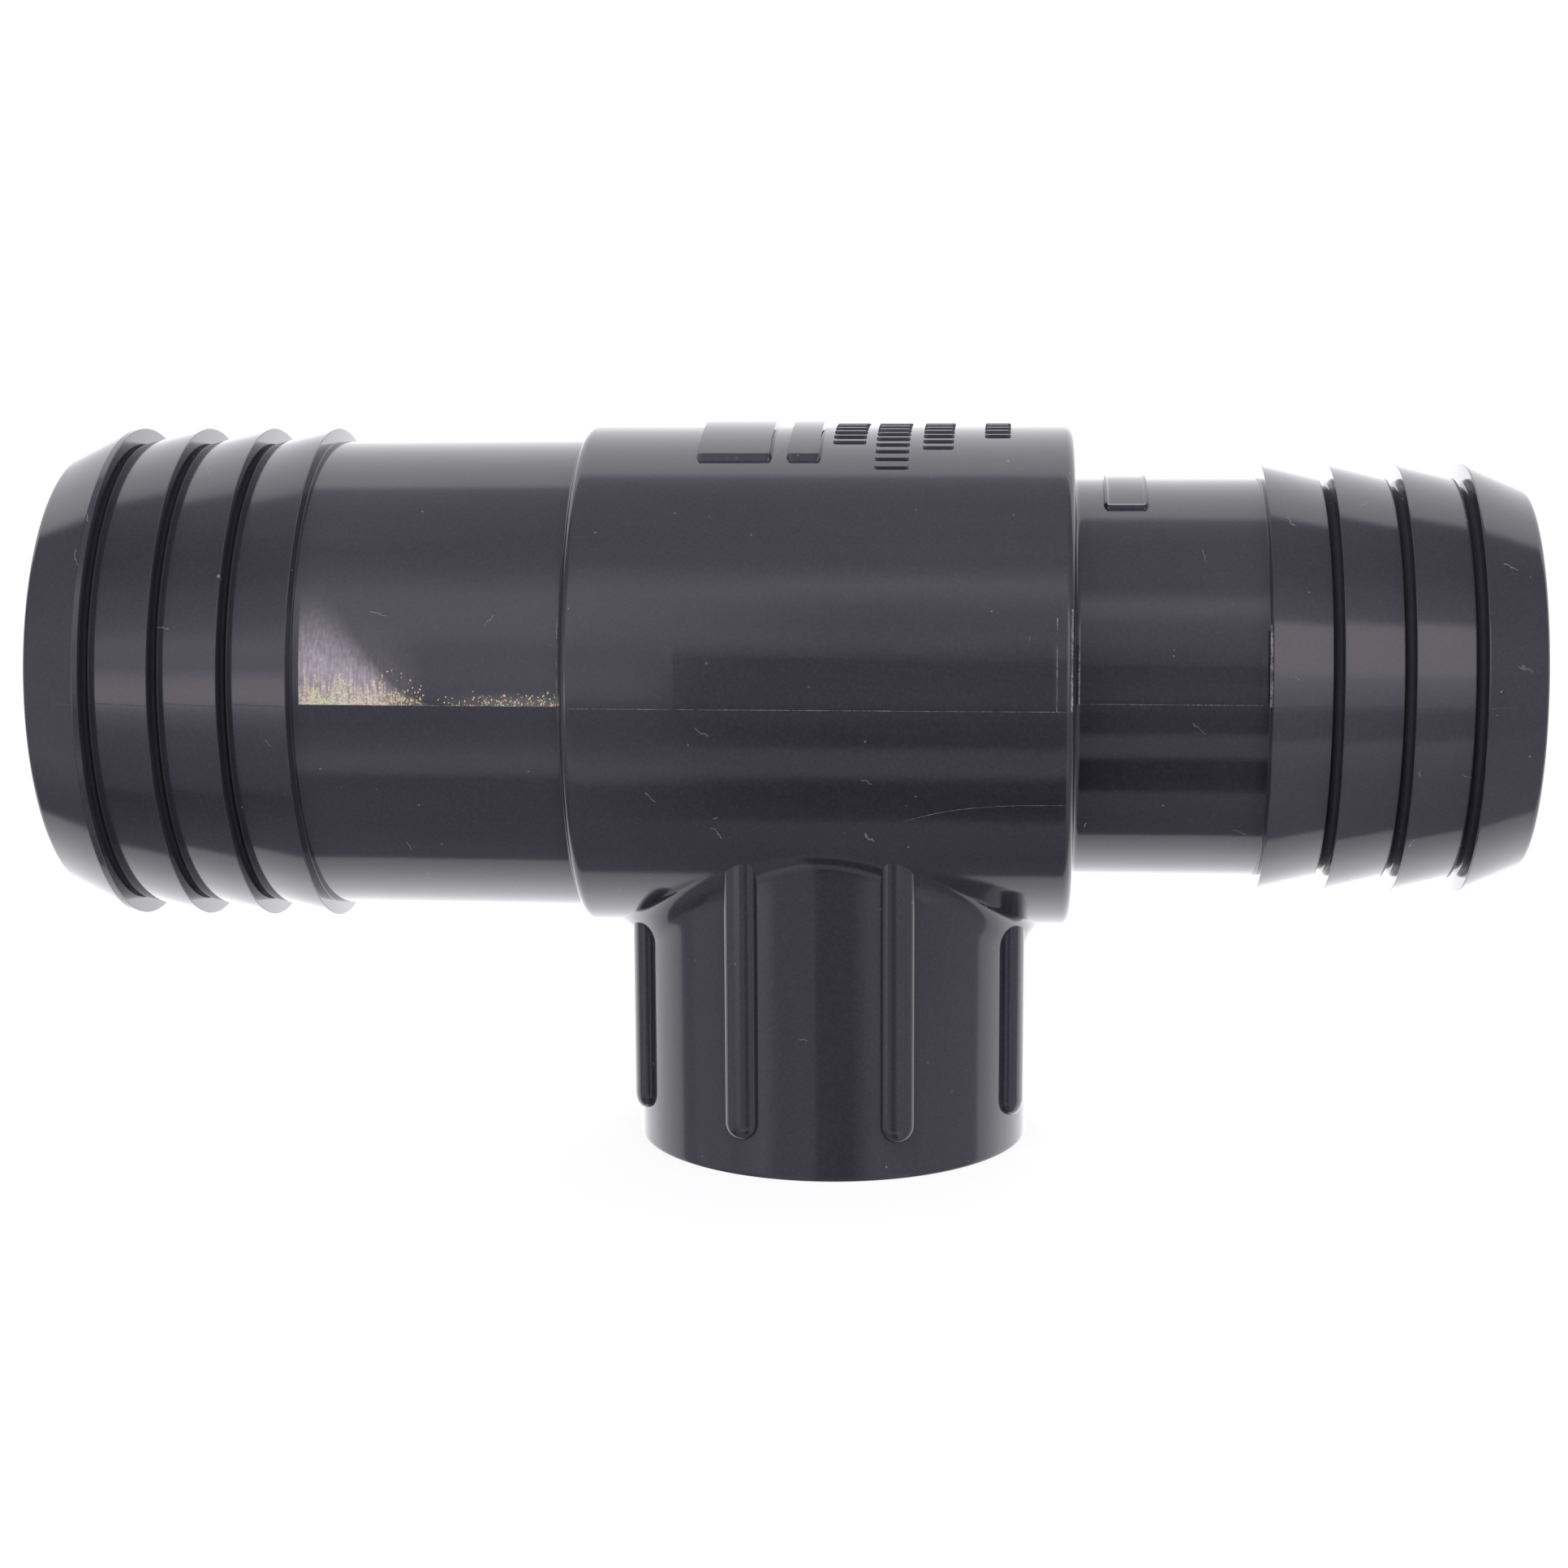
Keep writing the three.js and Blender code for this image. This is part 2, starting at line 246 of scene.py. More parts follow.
def make_piece(name, mesh, material, replaced=()):
    """Welds the bands into one closed mesh, and puts it in place in the row frame."""
    bmesh.ops.remove_doubles(mesh, verts=mesh.verts, dist=WELD)
    bmesh.ops.dissolve_degenerate(mesh, dist=WELD, edges=mesh.edges)
    bmesh.ops.recalc_face_normals(mesh, faces=mesh.faces)
    bmesh.ops.translate(mesh, verts=mesh.verts, vec=CROSSING)
    data = bpy.data.meshes.new(name)
    mesh.to_mesh(data)
    mesh.free()
    data.shade_smooth()
    data.set_sharp_from_angle(angle=SHARP_ANGLE)
    data.materials.append(material)
    piece = bpy.data.objects.new(name, data)
    bpy.context.scene.collection.objects.link(piece)
    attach(piece, "root")
    if replaced:
        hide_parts(*replaced)


def fillet_arc(azimuth):
    """Arc of the fillet at one azimuth, from the barrel to the outlet: a ball rests on both."""
    share = math.sin(azimuth) ** 2
    ball = FILLET_SIDE + (FILLET_FRONT - FILLET_SIDE) * share
    reach = OUTLET_RADIUS + ball
    drop = BARREL_RADIUS + ball
    centre = Vector((reach * math.cos(azimuth), reach * math.sin(azimuth), 0))
    centre.z = -math.sqrt(drop**2 - centre.y**2)
    to_barrel = Vector((0, -centre.y, -centre.z)).normalized()
    to_outlet = Vector((-math.cos(azimuth), -math.sin(azimuth), 0))
    sweep = to_barrel.angle(to_outlet)
    arc = []
    for share in spread(0, 1, ARC_STEPS):
        direction = to_barrel * math.sin((1 - share) * sweep) + to_outlet * math.sin(share * sweep)
        arc.append(centre + direction * (ball / math.sin(sweep)))
    return arc


def rim_nodes(start, end):
    """(along, angle) nodes round the border of the run's lower half between two stations."""
    half = RUN_COLUMNS // 2
    stations = spread(start, end, BARREL_COLUMNS)
    angles = spread(-math.pi, 0, half)
    nodes = [(along, -math.pi) for along in stations[:-1]]
    nodes += [(end, angle) for angle in angles[:-1]]
    nodes += [(along, 0.0) for along in reversed(stations[1:])]
    nodes += [(start, angle) for angle in reversed(angles[1:])]
    return nodes


def rim_azimuths(nodes, radius):
    return [math.atan2(-radius * (angle + math.pi / 2), along) for along, angle in nodes]


def add_lower_half(mesh, nodes, radius, hole):
    """The run's lower half as rows that spread from the points of a hole's edge to the border."""
    rows = []
    for share in spread(0, 1, SPREAD_ROWS):
        moved = share**SPREAD_POWER
        row = []
        for (along, angle), point in zip(nodes, hole):
            hole_angle = math.atan2(point.z, -point.y)
            mixed_along = point.x + (along - point.x) * moved
            mixed_angle = hole_angle + (angle - hole_angle) * moved
            row.append(on_run(mixed_along, mixed_angle, radius))
        rows.append(row)
    add_band(mesh, rows)


def add_upper_half(mesh, start, end, radius):
    angles = spread(0, math.pi, RUN_COLUMNS // 2)
    stations = spread(start, end, BARREL_COLUMNS)
    rows = [[on_run(along, angle, radius) for angle in angles] for along in stations]
    add_band(mesh, rows, False)


def barrel_mesh():
    mesh = bmesh.new()

    # Outside of the barrel, the fillet and the upper part of the outlet.
    start = BARREL_START + BARREL_CORNER
    end = BARREL_END - BARREL_CORNER
    nodes = rim_nodes(start, end)
    arcs = [fillet_arc(azimuth) for azimuth in rim_azimuths(nodes, BARREL_RADIUS)]
    add_lower_half(mesh, nodes, BARREL_RADIUS, [arc[0] for arc in arcs])
    add_upper_half(mesh, start, end, BARREL_RADIUS)
    fillet_rows = [[arc[step] for arc in arcs] for step in range(ARC_STEPS + 1)]
    seat = [Vector((point.x, point.y, SOCKET_SEAT)) for point in fillet_rows[-1]]
    wall_rows = []
    for share in spread(0, 1, WALL_ROWS)[1:]:
        wall_rows.append([top.lerp(low, share) for top, low in zip(fillet_rows[-1], seat)])
    add_band(mesh, fillet_rows + wall_rows)

    # Rounded corners and flat ends.
    for side, edge, bore in ((-1, BARREL_START, LARGE_BORE), (1, BARREL_END, SMALL_BORE)):
        profile = []
        for bend in spread(0, math.pi / 2, ARC_STEPS):
            along = edge - side * BARREL_CORNER * (1 - math.sin(bend))
            profile.append((along, BARREL_RADIUS - BARREL_CORNER * (1 - math.cos(bend))))
        profile.append((edge, bore))
        add_turned_rows(mesh, profile)

    # Bores of the run and of the outlet.
    bore_nodes = rim_nodes(BARREL_START, BORE_STEP_START)
    hole = []
    for azimuth in rim_azimuths(bore_nodes, LARGE_BORE):
        edge_point = on_outlet(0, azimuth, OUTLET_BORE)
        edge_point.z = -math.sqrt(LARGE_BORE**2 - edge_point.y**2)
        hole.append(edge_point)
    add_lower_half(mesh, bore_nodes, LARGE_BORE, hole)
    add_upper_half(mesh, BARREL_START, BORE_STEP_START, LARGE_BORE)
    stepped = [(BORE_STEP_START, LARGE_BORE), (BORE_STEP_END, SMALL_BORE), (BARREL_END, SMALL_BORE)]
    add_turned_rows(mesh, stepped)
    bore_seat = [Vector((point.x, point.y, SOCKET_SEAT)) for point in hole]
    add_band(mesh, [seat, bore_seat, hole])
    return mesh


def thread_radius(height, turn):
    """Radius of the threaded wall at a height and a share of a turn."""
    rise = height - OUTLET_END
    phase = (rise / THREAD_PITCH - turn) % 1
    ridge = 1 - abs(2 * phase - 1)
    depth = THREAD_DEPTH * min(max(1.16 * ridge - 0.08, 0), 1)
    return THREAD_ROOT - rise * THREAD_TAPER - depth


def socket_mesh():
    mesh = bmesh.new()
    azimuths = turns(OUTLET_COLUMNS)
    seam_azimuths = azimuths + [2 * math.pi]
    rows = []
    row_count = int((THREAD_TOP - OUTLET_END) / THREAD_PITCH + 1) * THREAD_STEPS_A_TURN
    for step in range(-THREAD_STEPS_A_TURN, row_count + 1):
        row = []
        for column, azimuth in enumerate(seam_azimuths):
            turn = column / OUTLET_COLUMNS
            height = OUTLET_END + THREAD_PITCH * (step / THREAD_STEPS_A_TURN + turn)
            height = min(max(height, OUTLET_END), THREAD_TOP)
            chamfer = MOUTH_RADIUS - (height - OUTLET_END)
            row.append(on_outlet(height, azimuth, max(thread_radius(height, turn), chamfer)))
        rows.append(row)
    add_band(mesh, rows, False)
    thread_end = rows[-1][:-1]
    outside = [(OUTLET_END, MOUTH_RADIUS), (OUTLET_END, OUTLET_RADIUS - MOUTH_EDGE)]
    for bend in spread(0, math.pi / 2, EASE_STEPS)[1:]:
        radius = OUTLET_RADIUS - MOUTH_EDGE * (1 - math.sin(bend))
        outside.append((OUTLET_END + MOUTH_EDGE * (1 - math.cos(bend)), radius))
    wall = spread(OUTLET_END + 2 * MOUTH_EDGE, SOCKET_SEAT, SOCKET_ROWS)
    outside += [(height, OUTLET_RADIUS) for height in wall]
    outside += [(SOCKET_SEAT, OUTLET_BORE), (THREAD_TOP, OUTLET_BORE)]
    rings = []
    for height, radius in outside:
        rings.append([on_outlet(height, azimuth, radius) for azimuth in azimuths])
    add_band(mesh, rings + [thread_end])
    return mesh


def rib_mesh(azimuth):
    """A bead with a half-round foot and a rounded crown, bent to the outlet's roundness."""
    mesh = bmesh.new()
    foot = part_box("grip_rib_1")[0].z - CROSSING.z
    half = RIB_WIDTH / 2
    sideways = OUTLET_RADIUS * math.sin(azimuth)
    top = -math.sqrt(RIB_ROOT_DEPTH**2 - sideways**2)

    def outline(inset, radius):
        reach = half - inset
        points = [(-reach, height) for height in spread(top, foot + half, RIB_SIDE_ROWS)]
        for bend in spread(0, math.pi, RIB_FOOT_STEPS)[1:-1]:
            points.append((-reach * math.cos(bend), foot + half - reach * math.sin(bend)))
        points += [(reach, height) for height in spread(foot + half, top, RIB_SIDE_ROWS)]
        return [on_outlet(height, azimuth + across / radius, radius) for across, height in points]

    rows = [outline(half, RIB_INNER), outline(0, RIB_INNER)]
    for bend in spread(0, math.pi / 2, RIB_CROWN_STEPS):
        inset = half * (1 - math.cos(bend) ** RIB_ROUNDNESS)
        rows.append(outline(inset, RIB_OUTER - RIB_CROWN * (1 - math.sin(bend) ** RIB_ROUNDNESS)))
    add_band(mesh, rows)
    return mesh


def barb_reach(tail, barb):
    """Distances of a barb's two ends from the outlet axis, and the radius of its crest."""
    low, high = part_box(f"{tail['name']}_barb_{barb + 1}")
    inner, outer = sorted(abs(x - CROSSING.x) for x in (low.x, high.x))
    return inner, outer, (high.y - low.y) / 2


def barb_outline(tail, barb):
    """Closed outline of one barb's ring of wall, as (distance, radius) points."""
    inner, outer, radius = barb_reach(tail, barb)
    crest = inner + BARB_LAND
    is_first = barb == 0
    back = crest - BARB_UNDERCUT
    corners = [
        (outer, tail["tip_radius"] if is_first else tail["groove"], TIP_EASE if is_first else 0),
        (crest, radius, CREST_EASE),
    ]
    if is_first:
        corners.insert(1, (crest + tail["crest_flat"], radius, CREST_EASE))
    if barb == BARB_COUNT - 1:
        corners += [(back, tail["neck_at_barbs"], GROOVE_EASE), (inner, tail["neck_at_barbs"], 0)]
    else:
        foot = inner + tail["cone_foot"]
        corners += [(back, tail["groove"] - SLOT_BACK_SHARE * SLOT_DEPTH, GROOVE_EASE)]
        corners += [(foot + SLOT_FLOOR, tail["groove"] - SLOT_DEPTH, GROOVE_EASE)]
        foot_radius = tail["groove"] - CONE_SLOPE * tail["cone_foot"]
        corners += [(foot, foot_radius, GROOVE_EASE), (inner, tail["groove"], 0)]
    corners += [(inner, tail["bore"], 0), (outer, tail["bore"], TIP_EASE if is_first else 0)]
    return eased(corners)


def neck_mesh(tail):
    mesh = bmesh.new()
    low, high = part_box(f"{tail['name']}_hose_neck")
    outer = max(abs(low.x - CROSSING.x), abs(high.x - CROSSING.x))
    outline = [(outer, tail["neck_at_barbs"])]
    for bend in spread(0, math.pi / 2, ARC_STEPS):
        distance = tail["shoulder"] + tail["foot"] * (1 - math.sin(bend))
        outline.append((distance, tail["neck_at_barrel"] + tail["foot"] * (1 - math.cos(bend))))
    outline += [(tail["shoulder"], tail["bore"]), (outer, tail["bore"])]
    add_run_turning(mesh, [(tail["side"] * distance, radius) for distance, radius in outline])
    return mesh


# ---------------------------------------------------------------- raised marks


MARK_ROOT = 0.25 * MM
MARK_BASE = 0.1 * MM
PAD_CORNER = 0.8 * MM
RECESS_EDGE = 0.15 * MM
RECESS_RIM = 2.2
MARK_GRID = (0.2 * MM, 0.25 * MM)
DASH_WIDTH = 0.5 * MM
DASH_PITCH = 1.35 * MM
DASH_HEIGHT = 0.17 * MM
DASH_SLOPE = 0.16 * MM


def slope_lines(half, slope, count):
    """Even grid lines over a width, with extra ones on its two sloping edges."""
    steps = spread(0, slope, 4)
    lines = [-half + step for step in steps]
    lines += spread(-half + slope, half - slope, count)[1:-1]
    lines += [half - step for step in reversed(steps)]
    return lines


def add_mark(mesh, radius, middle, size, height, slope, corner, recess=0.0):
    """A raised mark on the run: a block with sloping sides, round corners and a flat top, which
    can be recessed inside a rim. middle is (along, angle), size is (length, arc length), slope is
    the width of each side, and the rim is RECESS_RIM times as wide as the first of them."""
    root = radius - MARK_ROOT
    half_length = size[0] / 2
    half_arc = size[1] / 2

    def surface(along, arc):
        """Radius of the mark's top at a place counted from its middle."""
        inside_length = half_length - abs(along)
        inside_arc = half_arc - abs(arc)
        share = min(inside_length / slope[0], inside_arc / slope[1])
        if inside_length < corner and inside_arc < corner:
            rounded = corner - math.hypot(corner - inside_length, corner - inside_arc)
            share = min(share, rounded / min(slope))
        share = min(max(share, 0), 1)
        top = root + (radius + height - root) * share
        inner = min(inside_length, inside_arc) - RECESS_RIM * slope[0]
        return top - recess * smooth_step(inner, 0, RECESS_EDGE)

    lengths = slope_lines(half_length, slope[0], max(4, int(size[0] / MARK_GRID[0])))
    arcs = slope_lines(half_arc, slope[1], max(4, int(size[1] / MARK_GRID[1])))
    top_rows = []
    root_rows = []
    for along in lengths:
        x = middle[0] + along
        angles = [middle[1] + arc / radius for arc in arcs]
        tops = [surface(along, arc) for arc in arcs]
        top_rows.append([on_run(x, angle, top) for angle, top in zip(angles, tops)])
        root_rows.append([on_run(x, angle, root - MARK_BASE) for angle in angles])
    add_band(mesh, top_rows, False)
    add_band(mesh, root_rows, False)
    add_band(mesh, [top_rows[0], root_rows[0]], False)
    add_band(mesh, [top_rows[-1], root_rows[-1]], False)
    add_band(mesh, [[row[0] for row in top_rows], [row[0] for row in root_rows]], False)
    add_band(mesh, [[row[-1] for row in top_rows], [row[-1] for row in root_rows]], False)


def pad_mesh(radius, start, length, lowest_angle, height, slope, recess=0.0):
    """A plain pad over the top of the run, from its lowest angle on one side to the other."""
    mesh = bmesh.new()
    arc = 2 * (math.pi / 2 - lowest_angle) * radius
    middle = (start + length / 2, math.pi / 2)
    add_mark(mesh, radius, middle, (length, arc), height, slope, PAD_CORNER, recess)
    return mesh


def dash_mesh(radius, start, length, lowest_angle):
    """A stack of equal plain raised dashes, from one side over the top to the other."""
    mesh = bmesh.new()
    size = (length, DASH_WIDTH)
    slope = (DASH_SLOPE, DASH_SLOPE)
    span = 2 * (math.pi / 2 - lowest_angle)
    count = round(span * radius / DASH_PITCH)
    for angle in spread(lowest_angle, lowest_angle + span, count):
        middle = (start + length / 2, angle)
        add_mark(mesh, radius, middle, size, DASH_HEIGHT, slope, DASH_WIDTH / 2)
    return mesh


# ---------------------------------------------------------------- mould lines


# Widths and heights of the fine ridges, how far their feet are sunk, how uneven they are, the
# length of one step along them, and how far the mould line stays off the ends of a cone.
MOULD_LINE_SIZE = (0.16 * MM, 0.03 * MM)
WITNESS_SIZE = (0.24 * MM, 0.05 * MM)
SCRATCH_SIZE = (0.14 * MM, 0.02 * MM)
RIDGE_SUNK = 0.1 * MM
UNEVEN_PACE = 0.23
UNEVEN_HEIGHT = 0.7
UNEVEN_WIDTH = 0.2
MOULD_LINE_STEP = 0.4 * MM
WITNESS_STEP = 0.3 * MM
LINE_INSET = 0.1 * MM
WITNESS_SEED = 5
SCRATCH_SEED = 11
ALONG = Vector((1, 0, 0))
UP = Vector((0, 0, 1))


def add_ridge(mesh, path, across, size, seed):
    """A fine uneven ridge along a path of (point, outward direction) pairs. size is (width,
    height), and across is the direction of its width."""
    width, height = size
    rows = []
    for step, (point, outward) in enumerate(path):
        uneven = noise.noise(Vector((step * UNEVEN_PACE, seed, 0)))
        lift = height * (1 + UNEVEN_HEIGHT * uneven)
        side = across * (width * (0.5 + UNEVEN_WIDTH * uneven))
        sunk = point - outward * RIDGE_SUNK
        rows.append([sunk - side, point + outward * lift, sunk + side])
    add_band(mesh, rows)
    mesh.faces.new([mesh.verts.new(point) for point in rows[0]])
    mesh.faces.new([mesh.verts.new(point) for point in rows[-1]])


def mould_line_mesh(face, stretches):
    """The parting line along the run: stretches of (start, radius, end, radius). face is 1 at the
    front and -1 at the back."""
    mesh = bmesh.new()
    outward = Vector((0, -face, 0))
    for number, (start, start_radius, end, end_radius) in enumerate(stretches):
        path = []
        for share in spread(0, 1, max(2, round(abs(end - start) / MOULD_LINE_STEP))):
            radius = start_radius + (end_radius - start_radius) * share
            path.append((Vector((start + (end - start) * share, -face * radius, 0)), outward))
        add_ridge(mesh, path, UP, MOULD_LINE_SIZE, face * number)
    return mesh


def cone_stretch(tail, barb):
    """Ends of one barb's cone, for the mould line that runs over it."""
    inner, outer, radius = barb_reach(tail, barb)
    crest = inner + BARB_LAND + LINE_INSET
    if barb == 0:
        tip_radius = tail["tip_radius"] + LINE_INSET
        return outer - TIP_EASE, tip_radius, crest + tail["crest_flat"], radius
    return outer, tail["groove"], crest, radius


def witness_mesh(arcs):
    """Short ridges round the run, where the mould's inserts meet: (along, radius, start, end)."""
    mesh = bmesh.new()
    for number, (along, radius, start, end) in enumerate(arcs):
        path = []
        for angle in spread(start, end, max(8, int((end - start) * radius / WITNESS_STEP))):
            outward = on_run(0, angle, 1)
            path.append((on_run(along, angle, radius), outward))
        add_ridge(mesh, path, ALONG, WITNESS_SIZE, WITNESS_SEED + number)
    return mesh


# The scratch: where it starts and how long it is in mm, the angle of its end and its bend.
SCRATCH_START = 6.9
SCRATCH_LENGTH = 12.9
SCRATCH_ANGLE = -21.2
SCRATCH_BEND = 4.5
SCRATCH_STEPS = 40


def scratch_mesh():
    """The raised burr of one long curved scratch, low on the barrel beside its small end."""
    mesh = bmesh.new()
    path = []
    for share in spread(0, 1, SCRATCH_STEPS):
        along = (SCRATCH_START + SCRATCH_LENGTH * share) * MM
        angle = math.radians(SCRATCH_ANGLE - SCRATCH_BEND * (1 - share) ** 3)
        path.append((on_run(along, angle, BARREL_RADIUS), on_run(0, angle, 1)))
    add_ridge(mesh, path, UP, SCRATCH_SIZE, SCRATCH_SEED)
    return mesh


# ---------------------------------------------------------------- material


# Colours, dark to light, and the size of a hair.
PVC_DARK = (0.0225, 0.0218, 0.0285, 1)
PVC_LIGHT = (0.0305, 0.0292, 0.0370, 1)
PVC_GRAIN = (0.060, 0.055, 0.060, 1)
# Paler slot colour: partly dust, partly painted light in the slots between the barbs.
SLOT_DUST_AND_LIGHT = (0.052, 0.049, 0.056, 1)
DIRT = (0.36, 0.32, 0.30, 1)
CHALK_HIGH = (0.41, 0.355, 0.385, 1)
CHALK_LOW = (0.52, 0.435, 0.385, 1)
# Painted glints on the scuffed neck.
PAINTED_GLINT = (0.80, 0.66, 0.46, 1)
# Ridge colours: the white is partly worn whitening, partly painted glint.
RIDGE_GREY = (0.085, 0.080, 0.086, 1)
RIDGE_WHITE = (0.38, 0.34, 0.33, 1)
PVC_IOR = 1.5
HAIR_WIDTH = 0.035 * MM


def add_node(tree, kind, inputs=None, **settings):
    node = tree.nodes.new(kind)
    for key, value in settings.items():
        setattr(node, key, value)
    for key, value in (inputs or {}).items():
        if isinstance(value, bpy.types.NodeSocket):
            tree.links.new(value, node.inputs[key])
        else:
            node.inputs[key].default_value = value
    return node


def maths(tree, operation, first, second=0.0):
    return add_node(tree, "ShaderNodeMath", {0: first, 1: second}, operation=operation).outputs[0]


def product(tree, *values):
    result = values[0]
    for value in values[1:]:
        result = maths(tree, "MULTIPLY", result, value)
    return result


def split(tree, place):
    """The X, Y and Z of a place, by name."""
    return add_node(tree, "ShaderNodeSeparateXYZ", {"Vector": place}).outputs


def map_range(tree, value, low, high, to_low=0.0, to_high=1.0):
    inputs = {"Value": value, "From Min": low, "From Max": high}
    inputs.update({"To Min": to_low, "To Max": to_high})
    return add_node(tree, "ShaderNodeMapRange", inputs).outputs["Result"]


def smooth_range(tree, value, low, high, to_low=0.0, to_high=1.0):
    node = map_range(tree, value, low, high, to_low, to_high).node
    node.interpolation_type = "SMOOTHSTEP"
    return node.outputs["Result"]


def noise_field(tree, place, scale, detail=2.0, stretch=(1, 1, 1)):
    mapped = add_node(tree, "ShaderNodeMapping", {"Vector": place, "Scale": stretch})
    inputs = {"Vector": mapped.outputs["Vector"], "Scale": scale, "Detail": detail}
    return add_node(tree, "ShaderNodeTexNoise", inputs).outputs["Fac"]


def mix_colour(tree, factor, first, second):
    inputs = {0: factor, 6: first, 7: second}
    return add_node(tree, "ShaderNodeMix", inputs, data_type="RGBA").outputs[2]


def vector_maths(tree, operation, first, second=(0, 0, 0)):
    node = add_node(tree, "ShaderNodeVectorMath", {0: first, 1: second}, operation=operation)
    return node.outputs["Value" if operation in ("DOT_PRODUCT", "LENGTH") else "Vector"]


def scattered(tree, place, scale, share):
    """Sparse random cells: the distance and the offset from each cell's point, the cell's random
    colour, its three values, and a 0 or 1 that says whether the cell is used."""
    cells = add_node(tree, "ShaderNodeTexVoronoi", {"Vector": place, "Scale": scale})
    offset = vector_maths(tree, "SUBTRACT", place, cells.outputs["Position"])
    chances = add_node(tree, "ShaderNodeSeparateColor", {"Color": cells.outputs["Color"]}).outputs
    used = maths(tree, "GREATER_THAN", chances[0], 1 - share)
    return cells.outputs["Distance"], offset, cells.outputs["Color"], chances, used


def dust_specks(tree, place):
    """Small grains of mixed size and paleness."""
    distance, _, _, chances, used = scattered(tree, place, 620.0, 0.5)
    reach = map_range(tree, chances[1], 0.0, 1.0, 0.015, 0.07)
    near = maths(tree, "LESS_THAN", distance, reach)
    pale = map_range(tree, chances[2], 0.0, 1.0, 0.1, 0.45)
    return product(tree, near, pale, used)


def fibres(tree, place, scale, share, width):
    """Short bent hairs: thin slices through sparse cells, each in its own direction."""
    bend = add_node(tree, "ShaderNodeTexNoise", {"Vector": place, "Scale": 1500.0, "Detail": 1.0})
    centred = vector_maths(tree, "SUBTRACT", bend.outputs["Color"], (0.5, 0.5, 0.5))
    sway = vector_maths(tree, "SCALE", centred)
    sway.node.inputs["Scale"].default_value = 0.6 * MM
    swayed = vector_maths(tree, "ADD", place, sway)
    distance, offset, colour, chances, used = scattered(tree, swayed, scale, share)
    centred_colour = vector_maths(tree, "SUBTRACT", colour, (0.5, 0.5, 0.5))
    facing = vector_maths(tree, "NORMALIZE", centred_colour)
    aside = maths(tree, "ABSOLUTE", vector_maths(tree, "DOT_PRODUCT", offset, facing))
    thin = maths(tree, "LESS_THAN", aside, width)
    short = maths(tree, "LESS_THAN", distance, map_range(tree, chances[2], 0.0, 1.0, 0.05, 0.18))
    pale = map_range(tree, chances[1], 0.0, 1.0, 0.15, 0.6)
    return product(tree, thin, short, used, pale)


def fading(tree, height, full_at, gone_at):
    """1 up to one height and 0 above another, with a soft change between."""
    past = maths(tree, "SUBTRACT", height, full_at)
    share = maths(tree, "DIVIDE", past, maths(tree, "SUBTRACT", gone_at, full_at))
    return smooth_range(tree, share, 0.0, 1.0, 1.0, 0.0)


# The worn patch, its painted glow and its strip: ends along X, and heights above the mould line.
PATCH_X = (-38.0 * MM, -27.0 * MM)
PATCH_HEIGHTS = (9.6 * MM, 0.01 * MM)
GLOW_X = (-33.0 * MM, -28.0 * MM)
GLOW_HEIGHT = 8.0 * MM
STRIP_X = (-27.8 * MM, -22.9 * MM)
STRIP_HEIGHT = 1.4 * MM


def scuff_and_painted_light_area(tree, place):
    """A worn patch on the large neck, above the mould line, with a faint painted glow past its end
    and a thin worn strip beside the shoulder. Gives how worn the skin is together with the painted
    glow, how near it is to the line, and its grains of painted glints with their colour."""
    parts = split(tree, place)
    height = maths(tree, "SUBTRACT", parts["Z"], CROSSING.z)
    reach = smooth_range(tree, parts["X"], *PATCH_X, *PATCH_HEIGHTS)
    patch = fading(tree, height, maths(tree, "MULTIPLY", reach, 0.26), reach)
    patch = maths(tree, "MULTIPLY", patch, map_range(tree, reach, 0.0, 4.8 * MM, 0.15, 1.0))
    # Painted glow: a chalky lightening past the patch's end that stands for light, not wear.
    glow_share = map_range(tree, parts["X"], *GLOW_X, 0.45, 0.0)
    glow = maths(tree, "MULTIPLY", fading(tree, height, 0.0, GLOW_HEIGHT), glow_share)
    strip_share = map_range(tree, parts["X"], *STRIP_X, 0.0, 0.35)
    strip = maths(tree, "MULTIPLY", fading(tree, height, 0.0, STRIP_HEIGHT), strip_share)
    worn_and_glow = maths(tree, "MAXIMUM", maths(tree, "MAXIMUM", patch, glow), strip)
    above = maths(tree, "GREATER_THAN", height, 0.02 * MM)
    front = maths(tree, "LESS_THAN", parts["Y"], 0.0)
    worn_and_glow = product(tree, worn_and_glow, above, front)
    streaks = map_range(tree, noise_field(tree, place, 5000, 1.0, (1, 1, 0.12)), 0.35, 0.65)
    streak_top = maths(tree, "ADD", 1.6 * MM, maths(tree, "MULTIPLY", streaks, 2.6 * MM))
    near_line = fading(tree, height, 0.0, streak_top)
    cells = add_node(tree, "ShaderNodeTexVoronoi", {"Vector": place, "Scale": 8500.0})
    chances = add_node(tree, "ShaderNodeSeparateColor", {"Color": cells.outputs["Color"]}).outputs
    streaked = map_range(tree, streaks, 0.0, 1.0, 0.8, 1.05)
    mottled = map_range(tree, noise_field(tree, place, 2200, 3.0), 0.3, 0.7, 0.85, 1.1)
    worn_and_glow = product(tree, worn_and_glow, product(tree, streaked, mottled))
    crowd = product(tree, worn_and_glow, near_line, 0.8)
    # Grains of painted glints among the scuffs.
    grains = maths(tree, "GREATER_THAN", crowd, chances[2])
    return worn_and_glow, near_line, grains, cells.outputs["Color"]


# Panels just above the mould line where a darker reflection is painted by a lower specular level:
# (start, end, top) in the tee's frame, at the front.
DIMMED_REFLECTION_PANELS = (
    (-11.5 * MM, 18.8 * MM, 4.9 * MM),
    (20.88 * MM, 35.7 * MM, 4.4 * MM),
)


